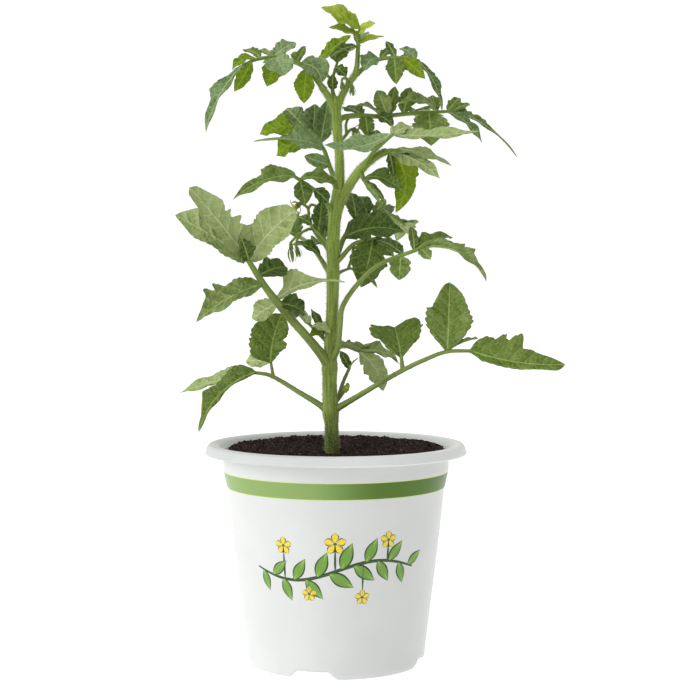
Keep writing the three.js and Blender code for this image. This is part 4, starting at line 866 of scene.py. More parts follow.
# %% Upper leaves
LEAVES += [
    dict(name="leaf_left_upper", stalks=[
        dict(route=[[1.2, 0, 213.5], [-1.6, 4, 218.5], [-3.6, 7, 224], [-5.6, 10, 229.5],
                    [-10, 13, 234.5], [-16, 15, 239.5]],
             thick=[2.8, 2.4, 2.1, 1.9, 1.7, 1.3])], blades=[
        dict(at=[-3.1, 6, 222.4], tip=[-14.2, 2, 226.4], wide=7,
             face=[-0.1, -1, 0.3], arch=0.8, bend=0.6, tone=-0.7),
        dict(at=[-6, 10, 230], tip=[-37, -2, 232.8], wide=16, face=[0, -1, 0.7], arch=3.6, tone=-0.9),
        dict(at=[-15, 15, 239], tip=[-34.2, 20, 236], wide=12,
             face=[-0.1, -0.9, 0.7], arch=2.5, tone=2.9),
        dict(at=[-9.5, 13, 234.4], tip=[-26.6, 20, 226.4], wide=14,
             face=[-0.2, -0.8, 0.5], arch=3, tone=2.9),
        dict(at=[-14, 14.6, 238.6], tip=[-22.4, 26, 247.4], wide=10,
             face=[-0.1, -1, 0.5], arch=1.5, tone=-0.6),
        dict(at=[-10, 13, 235], tip=[-9.6, 20, 249.6], wide=11, face=[0.1, -1, 0.3], arch=1, tone=-0.5),
        dict(at=[-7, 11, 232], tip=[-3.6, 17, 251.6], wide=10, face=[0.2, -1, 0.3], arch=1, tone=-0.5),
        dict(at=[-13, 14, 237.4], tip=[-22, 42, 231], wide=15, face=[-0.2, 0.2, 1], arch=3, tone=0.8)]),
    dict(name="leaf_right_pale", stalks=[
        dict(route=[[13.6, -4.4, 222.6], [15.6, -8.5, 226.4], [19, -13, 230.4], [25.5, -19, 236]],
             thick=[2.4, 2, 1.8, 1.4])], blades=[
        dict(at=[25, -18.6, 236], tip=[-5.4, -25, 231.4], wide=13,
             face=[0, -0.75, 1], arch=-4, tone=-1.0),
        dict(at=[25, -18.6, 235.8], tip=[64.6, -30, 237.4], wide=10,
             face=[0, -0.7, 1], arch=-1.2, tone=2.1),
        dict(at=[24.6, -18.4, 235.4], tip=[34, -13, 239.6], wide=8,
             face=[-0.1, -0.8, 1], arch=0.8, tone=2.2),
        dict(at=[17, -10.6, 228], tip=[18, -2, 238], wide=9, face=[-0.2, -1, 0.2], arch=0.8, tone=0)]),
    dict(name="leaf_right_fan", stalks=[
        dict(route=[[20.6, -7.4, 227.6], [25, -10.4, 228.6], [29, -12, 228.4]], thick=[2.6, 2.2, 1.6])],
        blades=[
        dict(at=[24.6, -10.4, 228.6], tip=[51.8, -15, 222], wide=10,
             face=[0.2, -0.6, 1], arch=2.6, cup=0.1, tone=1.9),
        dict(at=[24.6, -10.4, 228], tip=[46.6, -24, 216.4], wide=12,
             face=[0.2, -0.8, 0.8], arch=2.6, cup=0.1, tone=1.9),
        dict(at=[26, -11, 228], tip=[26.6, -10, 201], wide=13,
             face=[-0.1, -1, 0.2], arch=1, bend=5, tone=3),
        dict(at=[24, -10, 228], tip=[26, -4, 217.6], wide=5, face=[0, -1, 0.2], arch=0.6, tone=0)]),
    dict(name="leaf_right_low", stalks=[
        dict(route=[[11, -3.6, 219.4], [12.6, -7.6, 215.4]], thick=[2.4, 1.6])], blades=[
        dict(at=[12, -6.8, 216], tip=[30, -21, 210.3], wide=12, face=[0.1, -0.8, 1], arch=3.4, tone=0.5),
        dict(at=[12.4, -7.4, 215.6], tip=[20, -12, 205], wide=3.4, face=[0.2, -1, 0.3], arch=1, tone=1.4),
        dict(at=[12.4, -7, 215.6], tip=[22, -3.6, 205.4], wide=3.4,
             face=[0.2, -1, 0.3], arch=2, tone=0.4)]),
    dict(name="leaf_right_upper", stalks=[
        dict(route=[[0, 0, 240], [3, 3.6, 243.4], [10, 7, 244.4], [20, 10, 244], [30, 11, 245],
                    [42, 12, 245.8], [54, 12, 246.4]],
             thick=[3, 2.6, 2.3, 2.1, 1.9, 1.7, 1.3])], blades=[
        dict(at=[23, 10.4, 244.2], tip=[18.4, 12, 255.6], wide=8.5,
             face=[0.1, -1, 0.2], arch=0.8, tone=1.35),
        dict(at=[23.6, 10.4, 244.4], tip=[26.6, 18, 257.4], wide=6.5,
             face=[0, -1, 0.3], arch=0.8, tone=0.9),
        dict(at=[30, 11, 245], tip=[33.4, 17, 257], wide=8, face=[0, -1, 0.3], arch=0.8, tone=0.7),
        dict(at=[45, 12, 246], tip=[28, 5, 249.6], wide=11, face=[0, -0.7, 1], arch=3.6, tone=1.3),
        dict(at=[45, 12, 246], tip=[43, 18, 253.4], wide=5.4, face=[0, -1, 0.3], arch=0.5, tone=1),
        dict(at=[50, 12, 246.2], tip=[55.6, 21, 252.2], wide=5.6,
             face=[0, -0.9, 0.6], arch=0.8, tone=0.9),
        dict(at=[52, 12, 246.3], tip=[60, 15, 249.4], wide=4.6, face=[0, -0.9, 0.8], arch=0.6, tone=1),
        dict(at=[49, 12, 246.2], tip=[65.4, 5, 232.4], wide=7.6,
             face=[0.5, -0.7, 0.7], arch=2.4, tone=-0.5),
        dict(at=[53, 12, 246.3], tip=[81, 14, 226], wide=12, face=[0.4, -0.7, 0.8], arch=3.4, tone=-0.4),
        dict(at=[41.6, 12, 245.6], tip=[42.6, 4, 230.8], wide=16.5,
             face=[0, -1, 0.5], arch=1.6, tone=1.3),
        dict(at=[20, 10, 244], tip=[9.6, 3, 249], wide=7, face=[0, -0.6, 1], arch=1.5, tone=1.3),
        dict(at=[18, 9.6, 244], tip=[25.4, 3.6, 239.4], wide=8, face=[0.1, -0.8, 0.8], arch=1.6, tone=0),
        dict(at=[13, 8.2, 244.2], tip=[14.6, 3, 234.6], wide=7.5, face=[0, -1, 0.4], arch=0.8, tone=0.7),
        dict(at=[12, 8, 244.2], tip=[3.4, 22, 247.6], wide=9, face=[0, -0.7, 1], arch=1.2, tone=0),
        dict(at=[34, 11.6, 245.4], tip=[38, 44, 242], wide=14, face=[0.1, 0, 1], arch=3, tone=0.8)]),
]

# %% Top leaves and shoots
LEAVES += [
    dict(name="leaf_top_left", stalks=[
        dict(route=[[-5.2, -2, 255.6], [-9.6, -5, 261.6], [-14, -7, 266], [-19.6, -9, 268.6],
                    [-27, -11, 270.4], [-35, -13, 269.4], [-41.6, -14, 266.8]],
             thick=[2.6, 2.4, 2.2, 2, 1.8, 1.5, 1.3])], blades=[
        dict(at=[-40.6, -14, 267.2], tip=[-58.2, -16, 237], wide=14,
             face=[-0.8, -0.8, 0.5], arch=3.2, tone=-0.6),
        dict(at=[-37.6, -13.4, 268.4], tip=[-45.4, -9, 255], wide=6.5,
             face=[0.3, -1, 0.2], arch=1, tone=3),
        dict(at=[-35, -13, 269.4], tip=[-46.4, -20, 264.6], wide=7.5,
             face=[-0.2, -0.7, 1], arch=2.4, tone=2.8),
        dict(at=[-33.6, -12.6, 269.8], tip=[-41.6, -2, 273.4], wide=6,
             face=[0, -0.7, 1], arch=1.2, tone=1),
        dict(at=[-27, -11, 270.2], tip=[-23, -18, 262.2], wide=14.5,
             face=[0.1, -1, 0.35], arch=1, tone=-1.15),
        dict(at=[-26, -10.6, 270], tip=[-30.9, -12, 257.2], wide=9.4,
             face=[0.1, -1, 0.2], arch=0.8, tone=3),
        dict(at=[-27.6, -11, 270.4], tip=[-17.8, -3, 276.6], wide=8.4,
             face=[-0.1, -0.9, 0.6], arch=1.4, tone=-0.9),
        dict(at=[-28, -11, 270.6], tip=[-35.6, -1, 273.4], wide=6, face=[0, -0.3, 1], arch=0.6, tone=1.4),
        dict(at=[-17.6, -8.4, 268], tip=[-13.7, -2, 275.3], wide=3.6,
             face=[0.1, -1, 0.4], arch=0.5, tone=1),
        dict(at=[-16.6, -8, 267.6], tip=[-19, -1, 272.6], wide=4.4,
             face=[0, -1, 0.6], arch=0.5, tone=2.9),
        dict(at=[-16, -7.6, 267.2], tip=[-6.3, -13, 258.8], wide=13,
             face=[0.3, -1, 0.4], arch=1.5, bend=2.4, tone=-0.7),
        dict(at=[-13, -6.4, 265.4], tip=[-14.2, -2, 249.8], wide=9.4,
             face=[-0.2, -1, 0.1], arch=1, tone=3)]),
    dict(name="shoot_top", stalks=[
        dict(route=[[8.6, 1.8, 262.6], [9.4, 0.6, 266.8], [9.8, 3, 274], [10, 3, 279], [11, 3, 283.6]],
             thick=[2.4, 2.2, 1.9, 1.7, 1.3])], blades=[
        dict(at=[10.8, 3, 283], tip=[-6.6, -3, 292.4], wide=11,
             face=[0.1, -0.9, 0.7], arch=0.8, tone=3.5),
        dict(at=[10, 3, 280], tip=[-3.2, -5, 283.4], wide=7.4, face=[0, -0.8, 0.8], arch=0.8, tone=3.5),
        dict(at=[9.4, 3, 279.6], tip=[17.6, -2, 285.4], wide=6.4, face=[0, -0.8, 0.8], arch=1, tone=3.7),
        dict(at=[9.6, 3, 276], tip=[21.6, 6, 279.4], wide=5, face=[0, -0.7, 1], arch=1, tone=3.5),
        dict(at=[9.6, 3, 275], tip=[-2.4, -3, 270.4], wide=6, face=[-0.1, -0.8, 0.8], arch=1.5, tone=0.2),
        dict(at=[9.6, 3, 276.4], tip=[13.4, 22, 281], wide=7, face=[0, -0.4, 1], arch=1.5, tone=1.4),
        dict(at=[9.8, 3, 274.2], tip=[4, 20, 271], wide=7, face=[0, 0, 1], arch=2, tone=1)]),
    dict(name="shoot_middle", stalks=[
        dict(route=[[-0.2, 2.6, 250.4], [-1.4, 3.4, 254.6], [-1.8, 5.4, 259], [-0.6, 8, 264],
                    [0.8, 10, 268.6]],
             thick=[2.2, 1.8, 1.5, 1.3, 1.1]),
        dict(route=[[-1.8, 5.4, 259], [-5.2, 9, 265], [-7.2, 9.6, 270.6]], thick=[1.3, 1.2, 1])], blades=[
        dict(at=[-1.4, 4, 256], tip=[-1.6, -1, 262.8], wide=5, face=[0, -1, 0.2], arch=0.4, tone=0),
        dict(at=[0.6, 9.6, 268], tip=[5.6, 13, 272.6], wide=5.4, face=[0, -0.8, 1], arch=1, tone=1),
        dict(at=[-7, 9.4, 269.8], tip=[6.8, 9, 280], wide=8.4,
             face=[-0.3, -0.9, 0.6], arch=0.6, bend=-0.6, tone=3.2),
        dict(at=[-0.2, 8.6, 265.6], tip=[4.6, 5, 261.6], wide=6.4, face=[0.2, -1, 0.4], arch=1, tone=0.3),
        dict(at=[0.6, 9.6, 267.8], tip=[-2.6, 28, 272], wide=8, face=[0, -0.2, 1], arch=2, tone=0.8)]),
    dict(name="leaf_top_right", stalks=[
        dict(route=[[6.8, 1.6, 260.2], [10.4, 6, 263.6], [15, 6.4, 267.6], [20.4, 5.6, 269.6],
                    [28, 6, 270], [37, 6, 268.8]],
             thick=[2.3, 2.1, 1.9, 1.8, 1.6, 1.3])], blades=[
        dict(at=[19.6, 5.4, 269.4], tip=[13.2, -3, 264.4], wide=9.5,
             face=[-0.1, -1, 0.5], arch=1.5, bend=-1.6, tone=-0.6),
        dict(at=[20, 5.6, 269.6], tip=[24, 13, 274], wide=4.4, face=[0, -0.9, 0.6], arch=0.5, tone=1.2),
        dict(at=[26, 6, 270], tip=[27, 0, 258.2], wide=8.6, face=[0, -1, 0.3], arch=0.8, tone=1.0),
        dict(at=[26.6, 6, 270], tip=[22.4, 9, 277.4], wide=4, face=[0, -1, 0.4], arch=0.8, tone=-0.4),
        dict(at=[35.6, 6, 269.2], tip=[28.8, 14, 274.2], wide=7, face=[0, -0.6, 1], arch=1, tone=-0.7),
        dict(at=[30, 6, 269.8], tip=[40, 0, 260.6], wide=7, face=[-0.2, -1, 0.3], arch=1.4, tone=3),
        dict(at=[36, 6, 269], tip=[47.4, 7, 246.6], wide=9, face=[0.8, -0.9, 0.5], arch=3, tone=-0.4),
        dict(at=[27.6, 6, 270], tip=[30, 26, 266], wide=9, face=[0, 0, 1], arch=2, tone=1)]),
]

# %% Flower sprays
FLOWERS = [
    dict(name="flowers_left", stalks=[
        dict(route=[[-1.3, 0, 181], [-5.4, 6, 187], [-9.4, 10, 192], [-12, 12, 198], [-12.6, 12.6, 203],
                    [-16, 12, 205.6]],
             thick=[2.2, 1.6, 1.4, 1.3, 1.2, 1.1]),
        dict(route=[[-10.4, 10.8, 194], [-13, 7, 193.4], [-17, 2, 191], [-20.6, -1, 187.4]],
             thick=[1.3, 1.2, 1.1, 1]),
        dict(route=[[-15.6, 4, 192], [-17.6, 3.4, 188.6], [-18, 3, 185.6]], thick=[1.1, 1, 1]),
        dict(route=[[-12.6, 12.6, 202.8], [-11, 14, 204.6], [-8.8, 15, 204]], thick=[1.2, 1.1, 1])],
        buds=[
        dict(at=[-15.6, 12, 205.5], tip=[-21, 11, 201.6], wide=3.6),
        dict(at=[-20.4, -1, 187.8], tip=[-19.4, -2, 178.6], wide=2.6),
        dict(at=[-17.9, 3, 186.2], tip=[-16, 3, 181], wide=2.4),
        dict(at=[-9.2, 15, 204.1], tip=[-6, 16, 202.4], wide=2.4)]),
    dict(name="flowers_top", stalks=[
        dict(route=[[4.2, 1, 256.4], [5.6, -1.6, 259], [6.8, -3, 259.4], [7.2, -3.4, 257.6]],
             thick=[1.6, 1.3, 1.1, 1]),
        dict(route=[[5.4, -1.4, 258.6], [4.6, -4, 261], [2.8, -5.4, 260.6], [2.6, -5.8, 259]],
             thick=[1.3, 1.1, 1, 1])], buds=[
        dict(at=[7.2, -3.4, 258], tip=[7.6, -4, 253], wide=2.6),
        dict(at=[2.6, -5.8, 259.4], tip=[3.2, -6.6, 255.6], wide=2.2)]),
    dict(name="flowers_right", stalks=[
        dict(route=[[0.8, 0, 232], [3.6, 4, 234.6], [6, 7, 237.6], [7.6, 9, 238.6]],
             thick=[2, 1.5, 1.2, 1]),
        dict(route=[[4.8, 5.6, 236.2], [4.4, 7, 240], [5, 8.4, 242.4]], thick=[1.3, 1.1, 1])], buds=[
        dict(at=[7.2, 8.8, 238.6], tip=[11, 10, 236.4], wide=3.6),
        dict(at=[5, 8.2, 242], tip=[5.6, 10, 245], wide=2.2)]),
]
print(len(LEAVES), "leaves,", sum(len(leaf["blades"]) for leaf in LEAVES), "blades")

# %% [markdown]
# ## Stalks
#
# A stalk is a tube along a smooth curve through its route's points. The curve
# is a Catmull-Rom one: between two points it is a cubic whose slope at each is
# half the way from the point before to the point after. A real stem isn't
# quite round. It has soft ribs, it swells where a leaf leaves it, and a side
# branch is thicker where it joins.

# %% Curves and tubes
PLANT_RISE = 0.7
DOME_RINGS = 3
RIBS = 5


def placed(spots):
    """Layout points [across, back, up], raised a little and then moved out along their
    lines of sight: away from the eye's axis by as much as they lie further back."""
    spots = np.atleast_2d(np.asarray(spots, float))
    away = (spots[:, 1:2] - EYE[1]) / -EYE[1]
    raised = spots + [0, 0, PLANT_RISE]
    flat = EYE + (raised - EYE) * away
    flat[:, 1] = spots[:, 1]
    return flat


def smooth_route(knots, thick, steps):
    """Catmull-Rom points through the knots, and the thickness at each, joined in
    straight lines between the knots' own."""
    ends = np.vstack([2 * knots[0] - knots[1], knots, 2 * knots[-1] - knots[-2]])
    before, here, there, after = (ends[n:len(ends) - 3 + n, None] for n in range(4))
    f = np.linspace(0, 1, steps, endpoint=False)[None, :, None]
    out, into = (there - before) / 2, (after - here) / 2
    curve = (here + out * f + (3 * (there - here) - 2 * out - into) * f ** 2
             + (2 * (here - there) + out + into) * f ** 3)
    curve = np.vstack([curve.reshape(-1, 3), knots[-1]])
    along = np.append((np.arange(len(knots) - 1)[:, None] + f[0, :, 0]).ravel(), len(knots) - 1)
    return curve, np.interp(along, np.arange(len(knots)), thick)


def frames(curve):
    """The curve's direction and two directions across it, from one fixed axis that
    the curve never runs along."""
    along = unit(np.gradient(curve, axis=0))
    axis = np.eye(3)[np.abs(along).max(0).argmin()]
    side = unit(axis - along * (along @ axis)[:, None])
    return along, side, np.cross(along, side)


def tube(curve, radius, sides, ribs=0.0, domed=True, finish=0, **marks):
    """Circles of the given radius round the curve, with five soft ribs and three half
    as high, both cosines of the angle, and a dome of three rings at its end."""
    along, side, across = frames(curve)
    if domed:
        bend = np.linspace(0, 0.48 * np.pi, DOME_RINGS + 1)[1:]
        tip = curve[-1] + along[-1] * (radius[-1] * np.sin(bend))[:, None]
        curve = np.vstack([curve, tip])
        radius = np.append(radius, radius[-1] * np.cos(bend))
        along, side, across = (np.vstack([a, np.repeat(a[-1:], DOME_RINGS, 0)])
                               for a in (along, side, across))
    angle = 2 * np.pi * np.arange(sides) / sides
    out = np.cos(angle)[None, :, None] * side[:, None] + np.sin(angle)[None, :, None] * across[:, None]
    shape = radius[:, None] * (1 + ribs * np.cos(RIBS * angle + 0.7) + 0.5 * ribs * np.cos(3 * angle))
    run = np.append(0, np.cumsum(np.linalg.norm(np.diff(curve, axis=0), axis=1)))[:, None]
    return skin(curve[:, None] + out * shape[..., None], finish,
                angle=np.broadcast_to(RIBS * angle / (2 * np.pi), shape.shape), run=run, **marks)


stem_top = placed(STEMS[0]["route"])[-1, 2]
print("the main stem ends", round(float(stem_top)), "mm above the table")

# %% [markdown]
# ## Fine hairs
#
# Tomato stems are covered in short pale hairs, and against the light they draw
# a bright edge along every stalk. Blender's hair system would be the usual
# tool. Here each hair is a thin spike of four triangles that is part of the
# mesh, so it is there in every view.

# %% Hairs on a tube
HAIR_ROOT = 0.07
HAIR_SUNK = 0.06
HAIR_LEAN = 0.33


def hairs(curve, radius, per_mm, length, rng, finish):
    """Spikes that leave the tube at random places and angles. Each has a
    three-cornered root just inside the skin and a tip that leans either way."""
    along, side, across = frames(curve)
    run = np.append(0, np.cumsum(np.linalg.norm(np.diff(curve, axis=0), axis=1)))
    count = max(4, int(per_mm * run[-1]))
    spot = rng.uniform(0, run[-1], count)
    angle = rng.uniform(0, 2 * np.pi, count)

    def pick(values):
        """The values of the curve's points, read off between them at each hair."""
        return np.stack([np.interp(spot, run, values[:, n]) for n in range(3)], -1)

    middle, forward, aside, over = pick(curve), unit(pick(along)), unit(pick(side)), unit(pick(across))
    out = np.cos(angle)[:, None] * aside + np.sin(angle)[:, None] * over
    round_it = np.cross(forward, out)
    foot = middle + out * (np.interp(spot, run, radius) - HAIR_SUNK)[:, None]
    lean = rng.normal(0, HAIR_LEAN, (count, 2))
    tip = foot + (length * rng.uniform(0.45, 1.25, count))[:, None] * unit(
        out + lean[:, :1] * forward + lean[:, 1:] * round_it)
    thirds = 2 * np.pi * np.arange(3) / 3
    root = foot[:, None] + HAIR_ROOT * (np.cos(thirds)[None, :, None] * forward[:, None]
                                        + np.sin(thirds)[None, :, None] * round_it[:, None])
    corners = np.concatenate([root, tip[:, None]], 1).reshape(-1, 3)
    faces = np.array([(0, 2, 1), (0, 1, 3), (1, 2, 3), (2, 0, 3)])
    faces = (faces[None] + 4 * np.arange(count)[:, None, None]).reshape(-1, 3)
    if np.dot(np.cross(forward[0], round_it[0]), out[0]) < 0:
        faces = faces[:, ::-1]
    return {"points": corners, "finish": finish, "faces": [faces], "marks": {}}


# %% [markdown]
# ## Stem finish
#
# The skin is mid green with long paler ribs, yellower towards the top and
# streaked with dark olive near the soil. Small pale flecks are the feet of the
# hairs, which are themselves nearly colourless and let light through.

# %% Stem and hair materials
def green_skin(name, low, high, rib):
    """Colour by height from low to high, then streaks along the stem by noise that is
    stretched lengthwise, darker clouds, a dark foot, and flecks."""
    bench = Bench(name)
    place = bench.place()
    height = bench.add("SeparateXYZ", {0: place}).node.outputs[2]
    angle, run = bench.mark("angle"), bench.mark("run")
    lengthwise = bench.add("CombineXYZ", {0: bench.math("MULTIPLY", angle, 1.6),
                                          1: bench.math("MULTIPLY", run, 0.025), 2: 0.0})
    streak = bench.noise(lengthwise, 3.0, 3.0, 0.6)
    base = bench.mix(bench.step(height, 90.0, 235.0), low, high)
    base = bench.mix(bench.step(streak, 0.42, 0.62, 0.0, 0.6), base, rib)
    base = bench.mix(bench.step(streak, 0.34, 0.46, 0.5, 0.0), base, ink(84, 102, 38))
    cloud = bench.noise(place, 0.12, 3.0)
    base = bench.mix(bench.step(cloud, 0.45, 0.8, 0.0, 0.35), base, ink(84, 100, 42))
    foot = bench.step(bench.math("MULTIPLY_ADD", streak, 22.0, height), 100.0, 126.0, 0.8, 0.0)
    base = bench.mix(foot, base, ink(58, 66, 30))
    flecks = bench.noise(place, 2.6, 3.0, 0.7)
    base = bench.mix(bench.step(flecks, 0.7, 0.8, 0.0, 0.25), base, ink(196, 212, 150))
    gloss = bench.math("MULTIPLY_ADD", streak, 0.2, 0.38)
    bump = bench.relief(streak, 0.12, bench.relief(flecks, 0.04))
    shader = bench.add("BsdfPrincipled", {
        "Base Color": base, "Roughness": gloss, "Normal": bump, "Specular IOR Level": 0.3,
        "Sheen Weight": 0.08, "Sheen Roughness": 0.4, "Sheen Tint": ink(225, 235, 170)})
    return bench.close(shader)


def fine_hair():
    """Nearly colourless, half of it ordinary and half of it lit through."""
    bench = Bench("fine pale hair")
    shade = bench.mix(bench.noise(bench.place(), 0.4), ink(198, 214, 150), ink(232, 238, 205))
    skin_part = bench.add("BsdfPrincipled", {"Base Color": shade, "Roughness": 0.5})
    glow = bench.add("BsdfTranslucent", {"Color": shade})
    return bench.close(bench.add("MixShader", {0: 0.5, 1: skin_part, 2: glow}))


STEM_SKIN = green_skin("stem skin", ink(114, 132, 50), ink(130, 154, 54), ink(158, 180, 84))
STALK_SKIN = green_skin("leaf stalk skin", ink(112, 128, 58), ink(112, 138, 46), ink(150, 170, 92))
FINE_HAIR = fine_hair()
print("finishes:", STEM_SKIN.name, "-", STALK_SKIN.name, "-", FINE_HAIR.name)

# %% [markdown]
# The main stem has eight knots where leaves leave it. At each the tube swells a
# little, as a smooth bump a few millimetres long. A branch swells at its start.

# %% Stem
STEM_SIDES = 40
STEM_STEPS = 14
STEM_RIBS = 0.035
STEM_HAIRS, STEM_HAIR_LENGTH = 32, 1.3
ABOVE_SOIL = 95
KNOT_LENGTH = 3.0
BRANCH_SWELL, BRANCH_SWELL_LENGTH = 0.18, 3.5
KNOTS = [(112, 0.16), (132, 0.14), (144, 0.08), (173, 0.1), (184, 0.08), (201, 0.14), (215, 0.1),
         (241, 0.1)]


def stem_parts():
    """A tube and its hairs for each stem. A knot is a bell curve of the height, and a
    branch's start an exponential of the distance from it; both multiply the radius."""
    rng = np.random.default_rng(21)
    parts = []
    for number, route in enumerate(STEMS):
        curve, thick = smooth_route(placed(route["route"]), route["thick"], STEM_STEPS)
        radius = thick / 2
        if number == 0:
            for height, swell in KNOTS:
                radius = radius * (1 + swell * np.exp(-((curve[:, 2] - height) / KNOT_LENGTH) ** 2))
        else:
            start = np.linalg.norm(curve - curve[0], axis=1)
            radius = radius * (1 + BRANCH_SWELL * np.exp(-start / BRANCH_SWELL_LENGTH))
        parts.append(tube(curve, radius, STEM_SIDES, STEM_RIBS))
        above = curve[:, 2] > ABOVE_SOIL
        parts.append(hairs(curve[above], radius[above], STEM_HAIRS, STEM_HAIR_LENGTH, rng, 1))
    return parts


piece("stem_branches", stem_parts(), [STEM_SKIN, FINE_HAIR], "stem")

# %% [markdown]
# ## Leaf blades
#
# A tomato leaf is divided into blades of very different size. Each is a thin
# sheet that folds a little along its midrib. Its outline is a smooth oval with
# a drawn-out tip, and a few coarse rounded teeth that lean forward and get
# shallower towards the tip. Between the side veins the sheet is puffed up.
# A blade could be cut from a picture of a leaf, but then all blades would be
# flat and alike, so each is worked out from its own numbers.
#
# The midrib is a quadratic curve from the stalk to the tip. Along it, at each
# share s, the half-width is s to one power times (1 - s) to another, scaled to
# 1 at its widest.

# %% Midrib and outline
LONG, MIDDLE = 24.0, 13.0
OVALS = {"long": (0.72, 1.08), "middle": (0.66, 0.98), "short": (0.58, 0.8)}
TOOTH_COUNT = {"long": 4.6, "middle": 3.4, "short": 2.4}
VEIN_COUNT = {"long": 6.0, "middle": 4.6, "short": 3.4}
CUP = 0.3
TOOTH_LEAN = 0.3


def midrib(start, tip, face, arch, bend, share):
    """Points on the quadratic curve, its direction, the way to its side, and the
    way that the upper side faces there."""
    axis, face = unit(tip - start), np.asarray(face, float)
    normal = unit(face - axis * (face @ axis))
    side = np.cross(normal, axis)
    middle = (start + tip) / 2 + 2 * (arch * normal + bend * side)
    s = share[:, None]
    curve = (1 - s) ** 2 * start + 2 * s * (1 - s) * middle + s * s * tip
    along = unit(2 * (1 - s) * (middle - start) + 2 * s * (tip - middle))
    side = unit(side - along * (along @ side)[:, None])
    return curve, along, side, np.cross(along, side)


def tooth_edge(share, count, start, depth):
    """Share of the half-width that is left: rounded humps with sharp notches
    between them, deep near the base and gone near the tip."""
    phase = (count * share ** 0.92 + start) % 1
    hump = np.sin(np.pi * phase ** 1.5) ** 0.6
    fade = 1 - np.clip((share - 0.35) / 0.5, 0, 1) ** 1.3
    return 1 + depth * fade * (hump - 0.78)


for kind, (low, high) in OVALS.items():
    print("a", kind, "blade is widest at", round(low / (low + high), 2), "of its length")

# %% [markdown]
# Most blades have teeth of middling depth, chosen at random. Some that stand
# out have teeth of a given depth, first on the right edge of a blade that
# points up, then on its left.

# %% Teeth of the blades that stand out
TEETH = {
    "leaf_large_left": {7: (0.15, 0.1)},
    "leaf_lowest_left": {1: (0.2, 0.1)},
    "leaf_right_under": {0: (0.22, 0.3)},
    "leaf_left_upper": {2: (0.1, 0.08), 3: (0.42, 0.4)},
    "leaf_right_pale": {0: (0.06, 0.1), 1: (0.05, 0.22)},
    "leaf_right_fan": {0: (0.1, 0.22), 1: (0.12, 0.2)},
    "leaf_right_low": {0: (0.1, 0.34)},
    "leaf_right_upper": {7: (0.3, 0.4), 9: (0.3, 0.3)},
    "leaf_top_left": {10: (0.26, 0.2), 11: (0.1, 0.1)},
    "shoot_top": {0: (0.1, 0.22), 1: (0.3, 0.12)},
}
USUAL_TEETH = (0.16, 0.4)
SMALL_TEETH = 0.05
FINE_TEETH = 0.1
print("teeth of a given depth on", sum(len(blades) for blades in TEETH.values()), "blades")

# %% [markdown]
# The largest blades, and those with a lobe of their own, have edges drawn as
# pairs: how far along the midrib, and what share of the half-width is reached
# there, again first on the right and then on the left. A curve through the pairs
# is the outline, and very small teeth roughen it.

